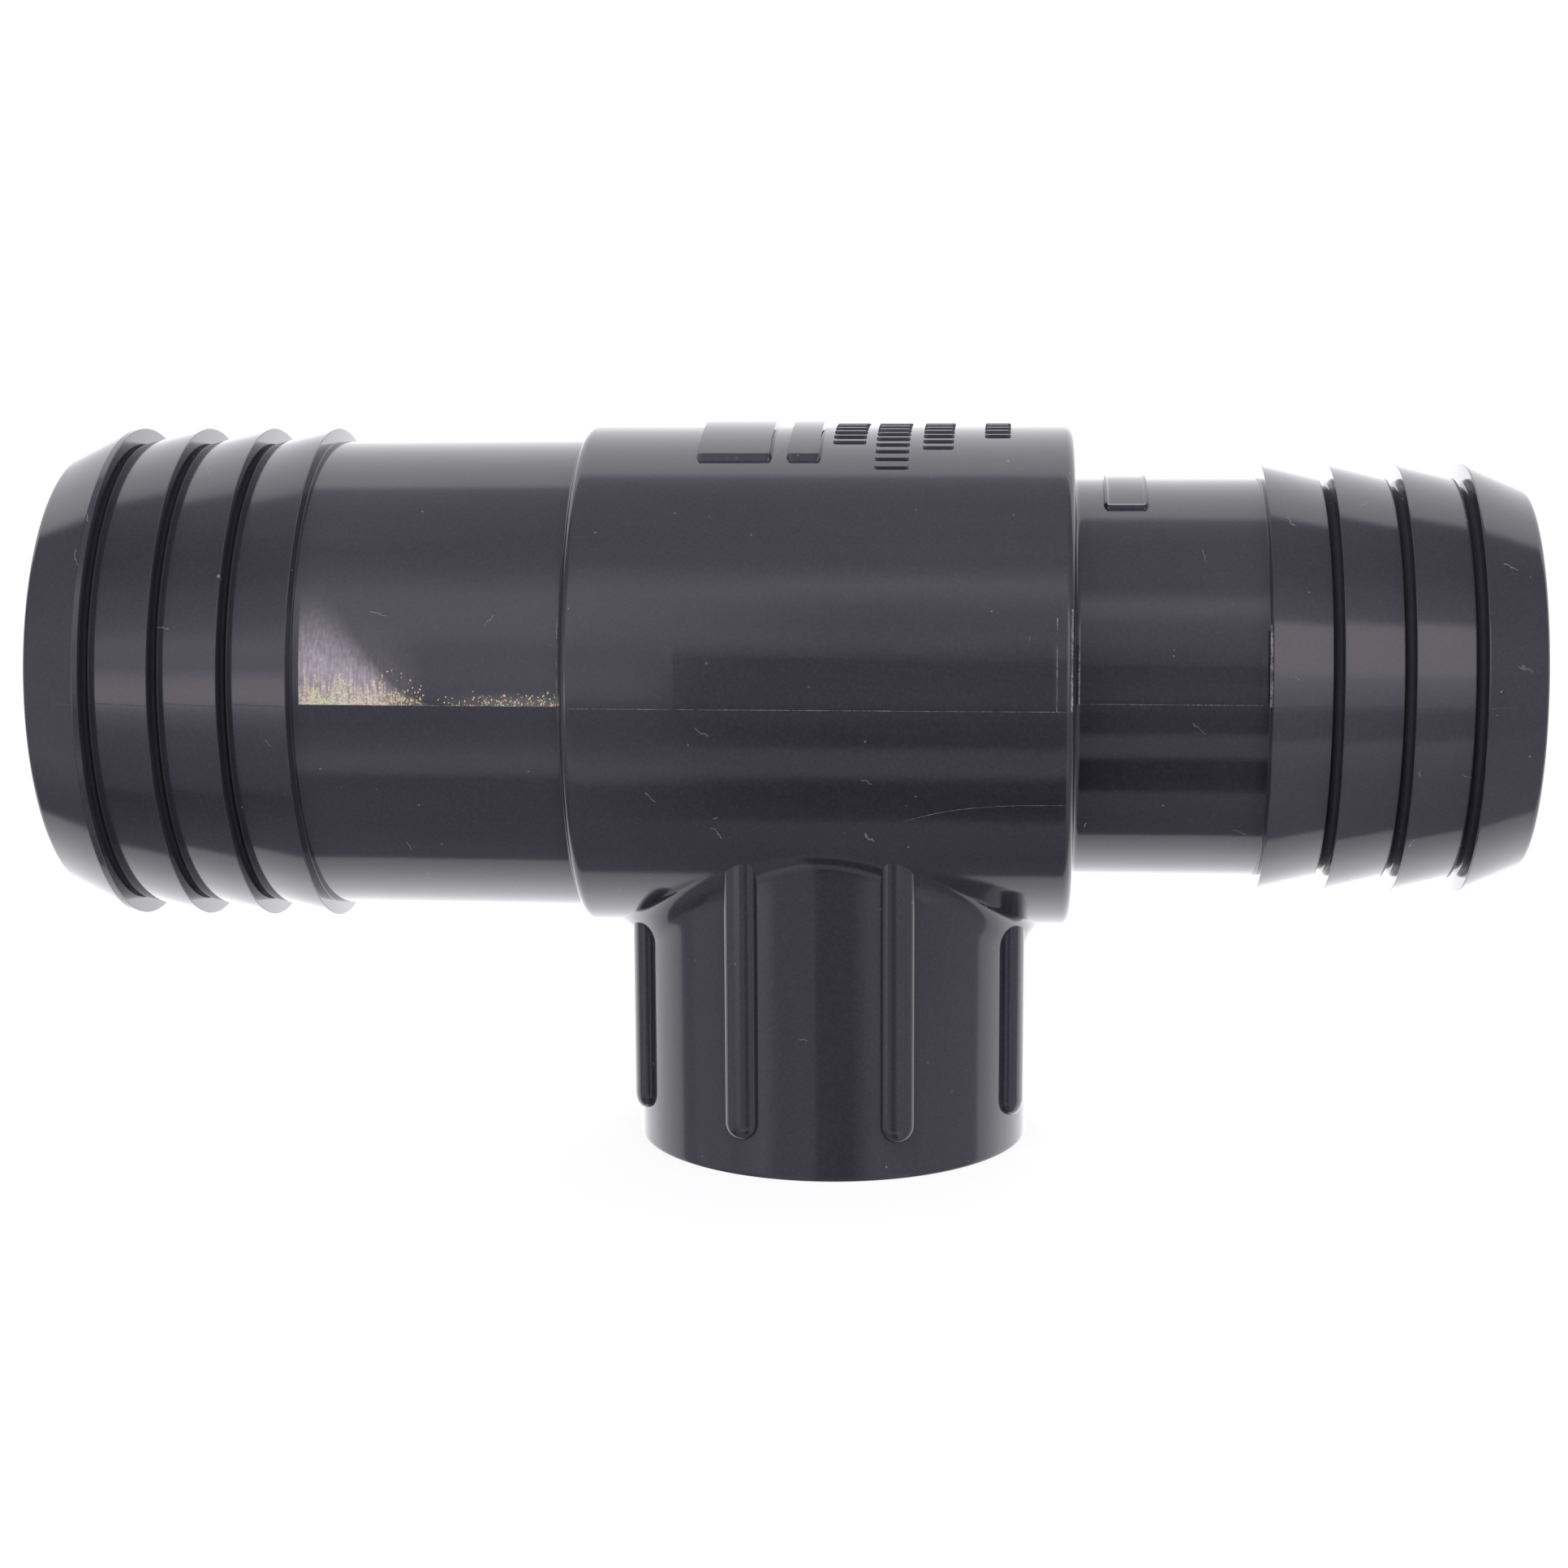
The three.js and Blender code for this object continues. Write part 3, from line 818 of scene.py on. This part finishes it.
def dimmed_reflection_area(tree, place):
    # Mask of the panels where the reflection is painted darker.
    parts = split(tree, place)
    height = maths(tree, "SUBTRACT", parts["Z"], CROSSING.z)
    wave = maths(tree, "MULTIPLY", noise_field(tree, place, 140, 1.0), 0.8 * MM)
    height_below = maths(tree, "ADD", height, wave)
    area = 0.0
    for start, end, top in DIMMED_REFLECTION_PANELS:
        left = maths(tree, "GREATER_THAN", parts["X"], start + CROSSING.x)
        right = maths(tree, "LESS_THAN", parts["X"], end + CROSSING.x)
        upper = map_range(tree, height_below, top - 0.2 * MM, top + 1.0 * MM, 1.0, 0.0)
        area = maths(tree, "ADD", product(tree, left, right, upper), area)
    above = maths(tree, "GREATER_THAN", height, 0.0)
    front = maths(tree, "LESS_THAN", parts["Y"], 0.0)
    return product(tree, area, above, front)


# Where the slots are painted paler, partly dust and partly painted light: its start on both tails,
# and its depths below the grooves.
BARBS_START = 36.5 * MM
PALE_SLOT_TOP = 0.04 * MM
PALE_SLOT_BOTTOM = 1.2 * MM


def pale_slot_area(tree, place):
    """The slots between the barbs of both tails, painted paler: partly pale dust, partly painted
    light.
    """
    parts = split(tree, place)
    height = maths(tree, "SUBTRACT", parts["Z"], CROSSING.z)
    squares = [maths(tree, "MULTIPLY", value, value) for value in (height, parts["Y"])]
    radius = maths(tree, "SQRT", maths(tree, "ADD", *squares))
    along = maths(tree, "SUBTRACT", parts["X"], CROSSING.x)
    area = 0.0
    for tail in (LARGE_TAIL, SMALL_TAIL):
        distance = maths(tree, "MULTIPLY", along, tail["side"])
        on_tail = maths(tree, "GREATER_THAN", distance, BARBS_START)
        first_crest = barb_reach(tail, 0)[0] + BARB_LAND
        inside_crests = maths(tree, "LESS_THAN", distance, first_crest)
        below = maths(tree, "LESS_THAN", radius, tail["groove"] - PALE_SLOT_TOP)
        outside_bore = maths(tree, "GREATER_THAN", radius, tail["groove"] - PALE_SLOT_BOTTOM)
        here = product(tree, on_tail, inside_crests, below, outside_bore)
        area = maths(tree, "ADD", here, area)
    return area


def worn_glinting_edge_material():
    """The raised mould lines: the same PVC, whitened here and there, partly as worn pale edges and
    partly as painted glints.
    """
    material = bpy.data.materials.new("worn_glinting_edge")
    material.use_nodes = True
    tree = material.node_tree
    shader = tree.nodes["Principled BSDF"]
    place = add_node(tree, "ShaderNodeTexCoord").outputs["Object"]
    patches = noise_field(tree, place, 900, 3.0)
    grains = noise_field(tree, place, 6000, 1.0)
    parts = split(tree, place)
    along = maths(tree, "ABSOLUTE", maths(tree, "SUBTRACT", parts["X"], CROSSING.x))
    off_barbs = map_range(tree, along, 36.2 * MM, 36.6 * MM, 1.0, 0.1)
    patchy = map_range(tree, patches, 0.32, 0.62)
    # Whitening of the ridges off the barbs: partly worn pale edges, partly painted glints along the
    # lines.
    white = product(tree, patchy, map_range(tree, grains, 0.3, 0.6), off_barbs)
    colour = mix_colour(tree, white, RIDGE_GREY, RIDGE_WHITE)
    relief = {"Height": grains, "Strength": 0.6, "Distance": 0.02 * MM}
    bump = add_node(tree, "ShaderNodeBump", relief)
    tree.links.new(colour, shader.inputs["Base Color"])
    tree.links.new(map_range(tree, white, 0.0, 1.0, 0.2, 0.55), shader.inputs["Roughness"])
    tree.links.new(bump.outputs["Normal"], shader.inputs["Normal"])
    shader.inputs["IOR"].default_value = PVC_IOR
    return material


def pvc_material(name, streak, scuffed_and_glinting=False, slotted=False, dimmed_reflection=False):
    """Dark grey PVC with a moulded gloss. streak stretches the flow marks along the piece."""
    material = bpy.data.materials.new(name)
    material.use_nodes = True
    tree = material.node_tree
    shader = tree.nodes["Principled BSDF"]
    place = add_node(tree, "ShaderNodeTexCoord").outputs["Object"]

    # Colour: slow cloudy variation, faint flow streaks, paler slots that are partly dust and partly
    # painted light, and sparse pale dust and hairs.
    cloud = noise_field(tree, place, 45, 3.0)
    flow = noise_field(tree, place, 420, 2.0, streak)
    cloud_part = maths(tree, "MULTIPLY", cloud, 0.6)
    shade = maths(tree, "ADD", cloud_part, maths(tree, "MULTIPLY", flow, 0.4))
    base = mix_colour(tree, map_range(tree, shade, 0.3, 0.7), PVC_DARK, PVC_LIGHT)
    grain = noise_field(tree, place, 3600, 3.0)
    base = mix_colour(tree, map_range(tree, grain, 0.4, 0.75, 0.0, 0.25), base, PVC_GRAIN)
    # Paler colour in the slots between the barbs: partly dust, partly painted light that lifts the
    # dark slots.
    if slotted:
        slot_mottle = map_range(tree, noise_field(tree, place, 1400, 3.0), 0.3, 0.7, 0.7, 1.0)
        slot_paleness = maths(tree, "MULTIPLY", pale_slot_area(tree, place), slot_mottle)
        base = mix_colour(tree, slot_paleness, base, SLOT_DUST_AND_LIGHT)
    small_hairs = fibres(tree, place, 230.0, 0.55, HAIR_WIDTH)
    long_hairs = fibres(tree, place, 90.0, 0.4, HAIR_WIDTH)
    hairs = maths(tree, "MAXIMUM", small_hairs, long_hairs)
    dirt = maths(tree, "MAXIMUM", dust_specks(tree, place), hairs)
    colour = mix_colour(tree, dirt, base, DIRT)

    # Gloss: a clear gloss with duller patches.
    patches = noise_field(tree, place, 130, 4.0, streak)
    gloss = map_range(tree, patches, 0.3, 0.75, 0.07, 0.14)
    gloss = maths(tree, "ADD", gloss, maths(tree, "MULTIPLY", dirt, 0.5))

    # Relief: the slight waviness of a moulded skin, fine flow marks and the dirt.
    wave = noise_field(tree, place, 90, 1.0)
    skin = noise_field(tree, place, 2600, 2.0)
    relief = maths(tree, "ADD", wave, maths(tree, "MULTIPLY", skin, 0.02))
    relief = maths(tree, "ADD", relief, maths(tree, "MULTIPLY", dirt, 0.4))
    if scuffed_and_glinting:
        # Scuffed neck: chalky wear colour, a painted glow past the patch, and bright grains that
        # are painted glints.
        worn_and_glow, near_line, grains, glint_cell_colour = scuff_and_painted_light_area(tree, place)
        haze = maths(tree, "POWER", worn_and_glow, 1.3)
        chalk = mix_colour(tree, near_line, CHALK_HIGH, CHALK_LOW)
        colour = mix_colour(tree, haze, colour, chalk)
        painted_glints = mix_colour(tree, 0.45, PAINTED_GLINT, glint_cell_colour)
        colour = mix_colour(tree, maths(tree, "MULTIPLY", grains, 0.8), colour, painted_glints)
        gloss = maths(tree, "ADD", gloss, maths(tree, "MULTIPLY", worn_and_glow, 0.25))
        rough = maths(tree, "MULTIPLY", worn_and_glow, noise_field(tree, place, 5200, 2.0))
        relief = maths(tree, "ADD", relief, rough)
    bump = add_node(tree, "ShaderNodeBump", {"Height": relief, "Distance": 0.03 * MM})
    bump.inputs["Strength"].default_value = 1.0
    tree.links.new(colour, shader.inputs["Base Color"])
    tree.links.new(gloss, shader.inputs["Roughness"])
    tree.links.new(bump.outputs["Normal"], shader.inputs["Normal"])
    if dimmed_reflection:
        # Painted reflection: the specular level is lowered in the panels to darken the reflection
        # there.
        reflection_dimming = map_range(tree, dimmed_reflection_area(tree, place), 0.0, 1.0, 0.5, 0.33)
        tree.links.new(reflection_dimming, shader.inputs["Specular IOR Level"])
    shader.inputs["IOR"].default_value = PVC_IOR
    return material


# ---------------------------------------------------------------- studio


# Brightness of the studio in front of the object, as (turn, level) pairs. The turn is the angle
# round the run's axis in degrees: 0 is level at the front, 90 is straight up. Each list holds for
# light that comes from one part of the width, from far left to far right.
OUTER_LEFT = (
    (-110, 0.60), (-97, 0.56), (-87, 0.54), (-76, 0.62), (-66, 0.75), (-15, 0.82), (14, 0.77),
    (42, 0.76), (55, 0.69), (67, 0.60), (79, 0.55), (90, 0.47), (110, 0.47),
)
FAR_LEFT = (
    (-110, 0.30), (-87, 0.29), (-75, 0.22), (-62, 0.17), (-57, 0.46), (-45, 0.52), (-26, 0.76),
    (-16, 1.29), (-8, 2.45), (2, 2.25), (10, 1.50), (21, 1.60), (31, 1.12), (40, 0.84), (50, 0.69),
    (59, 0.47), (69, 0.38), (100, 0.36), (110, 0.36),
)
LEFT = (
    (-110, 0.45), (-83, 0.45), (-68, 0.45), (-60, 0.50), (-46, 0.42), (-41, 0.98), (-34, 1.02),
    (-27, 0.72), (-19, 0.56), (-9, 0.56), (-2, 1.10), (6, 1.25), (16, 1.20), (28, 1.62), (36, 1.62),
    (44, 1.60), (52, 1.20), (60, 0.85), (70, 0.74), (95, 0.78), (110, 0.95),
)
MIDDLE = (
    (-110, 0.32), (-82, 0.34), (-73, 0.42), (-63, 0.46), (-60, 0.04), (-52, 0.0), (-42, 0.0),
    (-38, 0.62), (-27, 0.58), (-24, 0.12), (-15, 0.16), (-7, 0.36), (-5, 0.55), (2, 0.54),
    (14, 0.46), (16, 0.90), (31, 0.88), (37, 1.00), (43, 1.35), (49, 1.49), (56, 0.92), (60, 0.80),
    (68, 0.84), (90, 0.74), (99, 0.78), (110, 1.00),
)
RIGHT = (
    (-110, 0.60), (-89, 0.58), (-64, 0.70), (-53, 0.78), (-43, 0.94), (-33, 1.08), (-28, 0.70),
    (-13, 0.78), (-8, 1.40), (6, 1.90), (11, 2.42), (37, 2.50), (42, 1.10), (55, 0.86), (66, 0.64),
    (76, 0.53), (100, 0.48), (110, 0.48),
)
OUTER_RIGHT = ((-110, 0.72), (-20, 0.72), (0, 0.75), (30, 0.80), (60, 0.60), (110, 0.50))
BRIGHTEST = 3.0
TURN_LIMIT = 110.0


def light_levels(tree, turn, levels):
    share = map_range(tree, turn, -TURN_LIMIT, TURN_LIMIT)
    ramp = add_node(tree, "ShaderNodeValToRGB", {"Fac": share})
    stops = ramp.color_ramp.elements
    while len(stops) < len(levels):
        stops.new(0.5)
    for stop, (angle, level) in zip(stops, levels):
        stop.position = (angle + TURN_LIMIT) / (2 * TURN_LIMIT)
        grey = level / BRIGHTEST
        stop.color = (grey, grey, grey, 1)
    return maths(tree, "MULTIPLY", ramp.outputs["Color"], BRIGHTEST)


def blend(tree, share, first, second):
    kept = maths(tree, "MULTIPLY", first, maths(tree, "SUBTRACT", 1.0, share))
    return maths(tree, "ADD", kept, maths(tree, "MULTIPLY", second, share))


def make_studio_light():
    """A bright sweep behind and below the object, and a dim studio in front of it."""
    world = bpy.data.worlds.new("studio")
    bpy.context.scene.world = world
    world.use_nodes = True
    tree = world.node_tree
    direction = add_node(tree, "ShaderNodeTexCoord").outputs["Generated"]
    parts = split(tree, direction)
    wobble = maths(tree, "SUBTRACT", noise_field(tree, direction, 3.5, 1.0), 0.5)
    back_to_front = maths(tree, "MULTIPLY", parts["Y"], -1.0)
    turn = maths(tree, "MULTIPLY", maths(tree, "ARCTAN2", parts["Z"], back_to_front), 180 / math.pi)
    turn = maths(tree, "ADD", turn, maths(tree, "MULTIPLY", wobble, 5.0))
    sideways = maths(tree, "ADD", parts["X"], maths(tree, "MULTIPLY", wobble, 0.02))
    front = light_levels(tree, turn, OUTER_LEFT)
    for start, end, levels in ((-0.86, -0.79, FAR_LEFT), (-0.62, -0.48, LEFT)):
        share = map_range(tree, sideways, start, end)
        front = blend(tree, share, front, light_levels(tree, turn, levels))
    crisp = map_range(tree, sideways, -0.117, -0.112)
    soft = map_range(tree, sideways, -0.15, -0.06)
    share = blend(tree, map_range(tree, turn, 14.0, 17.0), crisp, soft)
    front = blend(tree, share, front, light_levels(tree, turn, MIDDLE))
    for start, end, levels in ((0.24, 0.42, RIGHT), (0.62, 0.78, OUTER_RIGHT)):
        share = map_range(tree, sideways, start, end)
        front = blend(tree, share, front, light_levels(tree, turn, levels))

    # The sweep's near edge leans: it starts further back above and to the right.
    lean = maths(tree, "MULTIPLY", parts["Z"], 0.1475)
    slant = maths(tree, "MULTIPLY", maths(tree, "MAXIMUM", parts["X"], 0.0), -0.0875)
    edge = maths(tree, "ADD", maths(tree, "ADD", lean, slant), 0.215)
    upper = map_range(tree, parts["Z"], -0.1, 0.1)
    edge = maths(tree, "ADD", edge, map_range(tree, upper, 0.0, 1.0, 0.03, 0.0))
    leftward = map_range(tree, parts["X"], -0.3, -0.5)
    not_outer = map_range(tree, parts["X"], -0.85, -0.65)
    left_part = maths(tree, "MULTIPLY", leftward, not_outer)
    bulge = maths(tree, "MULTIPLY", left_part, -0.05)
    edge = maths(tree, "ADD", edge, maths(tree, "MULTIPLY", bulge, upper))
    low_left = maths(tree, "MULTIPLY", map_range(tree, parts["X"], -0.84, -0.94), -0.10)
    lower = maths(tree, "SUBTRACT", 1.0, upper)
    edge = maths(tree, "ADD", edge, maths(tree, "MULTIPLY", low_left, lower))
    past_edge = maths(tree, "SUBTRACT", parts["Y"], edge)
    low_level = map_range(tree, past_edge, 0.03, 0.35, 1.45, 2.15)
    high_level = map_range(tree, past_edge, 0.04, 0.6, 2.0, 1.85)
    near_edge = map_range(tree, past_edge, 0.0, 0.13, 0.76, 0.91)
    grazing = map_range(tree, past_edge, 0.45, 0.75, 1.0, 0.78)
    dimmed = product(tree, near_edge, grazing, high_level)
    high_level = blend(tree, left_part, high_level, dimmed)
    sweep_level = blend(tree, upper, low_level, high_level)
    share = map_range(tree, past_edge, map_range(tree, upper, 0.0, 1.0, -0.01, -0.05), 0.02)
    background = tree.nodes["Background"]
    warm = map_range(tree, front, 1.6, 2.2)
    front_tint = mix_colour(tree, warm, (0.95, 0.945, 1.08, 1), (1.05, 0.97, 1.02, 1))
    tint = mix_colour(tree, share, front_tint, (0.985, 0.98, 1.015, 1))
    tree.links.new(tint, background.inputs["Color"])
    tree.links.new(blend(tree, share, front, sweep_level), background.inputs["Strength"])


def make_soft_light(name, place, width, depth, power):
    data = bpy.data.lights.new(name, "AREA")
    data.shape = "RECTANGLE"
    data.size = width
    data.size_y = depth
    data.energy = power
    light = bpy.data.objects.new(name, data)
    light.location = place
    light.rotation_euler = (CROSSING - Vector(place)).to_track_quat("-Z", "Y").to_euler()
    light.visible_glossy = False
    bpy.context.scene.collection.objects.link(light)


FLOOR_GREY = (0.22, 0.22, 0.22, 1)
FLOOR_GLOW = 0.86
FLOOR_FLAT = 0.55
FLOOR_BEND = 0.25


def make_floor():
    """A pale floor that curves up into a bright bowl all round. Only the camera sees it."""
    material = bpy.data.materials.new("pale_floor")
    material.use_nodes = True
    shader = material.node_tree.nodes["Principled BSDF"]
    shader.inputs["Base Color"].default_value = FLOOR_GREY
    shader.inputs["Roughness"].default_value = 0.9
    shader.inputs["Specular IOR Level"].default_value = 0.0
    shader.inputs["Emission Color"].default_value = (1, 1, 1, 1)
    shader.inputs["Emission Strength"].default_value = FLOOR_GLOW
    mesh = bmesh.new()
    profile = [(FLOOR_FLAT * share, 0.0) for share in spread(0, 1, 8)]
    reach = FLOOR_FLAT + FLOOR_BEND
    quarter = spread(0, math.pi / 2, 16)[1:]
    for a in quarter:
        profile.append((FLOOR_FLAT + FLOOR_BEND * math.sin(a), FLOOR_BEND * (1 - math.cos(a))))
    profile += [(reach * math.cos(a), FLOOR_BEND + reach * math.sin(a)) for a in quarter]
    rows = [[Vector((r * math.cos(a), r * math.sin(a), z)) for a in turns(96)] for r, z in profile]
    add_band(mesh, rows)
    bmesh.ops.remove_doubles(mesh, verts=mesh.verts, dist=1e-6)
    data = bpy.data.meshes.new("floor")
    mesh.to_mesh(data)
    mesh.free()
    data.shade_smooth()
    data.materials.append(material)
    floor = bpy.data.objects.new("floor", data)
    bpy.context.scene.collection.objects.link(floor)
    floor.visible_diffuse = False
    floor.visible_glossy = False
    floor.visible_transmission = False
    floor.visible_shadow = False


# The camera as fitted to the photo: sensor and lens in mm, place in mm, rotation in degrees.
CAMERA_SENSOR = 36
CAMERA_LENS = 67.83
CAMERA_PLACE = (19.14, -254.04, 74.39)
CAMERA_ROTATION = (80.294, 0.263, 4.419)


def make_camera():
    data = bpy.data.cameras.new("camera")
    data.sensor_width = CAMERA_SENSOR
    data.lens = CAMERA_LENS
    data.clip_start = 0.01
    camera = bpy.data.objects.new("camera", data)
    camera.location = Vector(CAMERA_PLACE) * MM
    camera.rotation_euler = [math.radians(angle) for angle in CAMERA_ROTATION]
    bpy.context.scene.collection.objects.link(camera)
    bpy.context.scene.camera = camera


# ---------------------------------------------------------------- the connector

make_camera()
make_studio_light()
make_soft_light("overhead_soft", (-0.2, -0.9, 1.0), 0.9, 0.5, 1.0)
make_floor()

run_pvc = pvc_material("run_pvc", (0.12, 1, 1), dimmed_reflection=True)
outlet_pvc = pvc_material("outlet_pvc", (1, 1, 0.12))
neck_pvc = pvc_material("scuffed_glinting_pvc", (0.12, 1, 1), scuffed_and_glinting=True)
barb_pvc = pvc_material("barb_pvc", (0.12, 1, 1), slotted=True)
worn_glinting_edge = worn_glinting_edge_material()

make_piece("barrel_shell", barrel_mesh(), run_pvc, ["run_barrel"])
make_piece("threaded_socket", socket_mesh(), outlet_pvc, ["outlet_socket"])
for rib in range(RIB_COUNT):
    rib_azimuth = (rib + 0.5) * 2 * math.pi / RIB_COUNT + RIB_TURN
    make_piece(f"rib_{rib + 1}", rib_mesh(rib_azimuth), outlet_pvc, [f"grip_rib_{rib + 1}"])

stretches = [
    (BARREL_START + BARREL_CORNER, BARREL_RADIUS, BARREL_END - BARREL_CORNER, BARREL_RADIUS)
]
for tail in (LARGE_TAIL, SMALL_TAIL):
    tail_name = tail["name"]
    side = tail["side"]
    last_crest = cone_stretch(tail, BARB_COUNT - 1)[2]
    foot = tail["shoulder"] + tail["foot"]
    neck_end = side * (last_crest - BARB_LAND)
    stretches.append((side * foot, tail["neck_at_barrel"], neck_end, tail["neck_at_barbs"]))
    neck_material = neck_pvc if tail_name == "large" else run_pvc
    make_piece(f"{tail_name}_neck", neck_mesh(tail), neck_material, [f"{tail_name}_hose_neck"])
    for barb in range(BARB_COUNT):
        mesh = bmesh.new()
        add_run_turning(mesh, [(side * d, r) for d, r in barb_outline(tail, barb)])
        node = f"{tail_name}_barb_{barb + 1}"
        make_piece(f"{tail_name}_hose_barb_{barb + 1}", mesh, barb_pvc, [node])
        start, start_radius, end, end_radius = cone_stretch(tail, barb)
        stretches.append((side * start, start_radius, side * end, end_radius))
make_piece("mould_line_front", mould_line_mesh(1, stretches), worn_glinting_edge)
make_piece("mould_line_back", mould_line_mesh(-1, stretches), worn_glinting_edge)

# Plain pads and dashes in place of the raised marks: start and length in mm, for the dashes with
# the angle in degrees at which they begin.
PADS = (("wide", -10.82, 6.5), ("narrow", -3.32, 3.1))
PAD_ANGLE = math.radians(62)
PAD_HEIGHT = 0.5 * MM
PAD_SLOPE = (0.3 * MM, 0.65 * MM)
DASHES = ((0.38, 3.0, 72), (3.98, 3.05, 60), (7.88, 2.8, 69), (12.98, 2.4, 76))
for name, start, length in PADS:
    mesh = pad_mesh(BARREL_RADIUS, start * MM, length * MM, PAD_ANGLE, PAD_HEIGHT, PAD_SLOPE)
    make_piece(f"raised_pad_{name}", mesh, run_pvc)
neck_radius = SMALL_TAIL["neck_at_barrel"]
neck_pad = pad_mesh(
    neck_radius, 22.93 * MM, 3.85 * MM, math.radians(61), 0.35 * MM,
    (0.16 * MM, 0.4 * MM), 0.12 * MM
)
make_piece("raised_pad_neck", neck_pad, run_pvc)
for number, (start, length, lowest) in enumerate(DASHES):
    mesh = dash_mesh(BARREL_RADIUS, start * MM, length * MM, math.radians(lowest))
    make_piece(f"raised_dashes_{number + 1}", mesh, run_pvc)

# The short lines beside the mould's inserts: (along, radius, start angle, end angle).
witness_arcs = (
    (BARREL_END - 0.35 * MM, BARREL_RADIUS - 0.12 * MM, 0.0, math.radians(22)),
    (BARREL_END - 1.5 * MM, BARREL_RADIUS - 0.01 * MM, 0.0, math.radians(20)),
    (BARREL_END + 0.3 * MM, neck_radius + 0.1 * MM, 0.0, math.radians(16)),
    (BARREL_START - 0.25 * MM, LARGE_TAIL["neck_at_barrel"], 0.0, math.radians(21)),
    (36.22 * MM, half_width("small_barb_4") - 0.03 * MM, 0.0, math.radians(21)),
)
make_piece("witness_marks", witness_mesh(witness_arcs), worn_glinting_edge)
make_piece("scratch_mark", scratch_mesh(), worn_glinting_edge)

bpy.context.scene.view_settings.view_transform = "Standard"
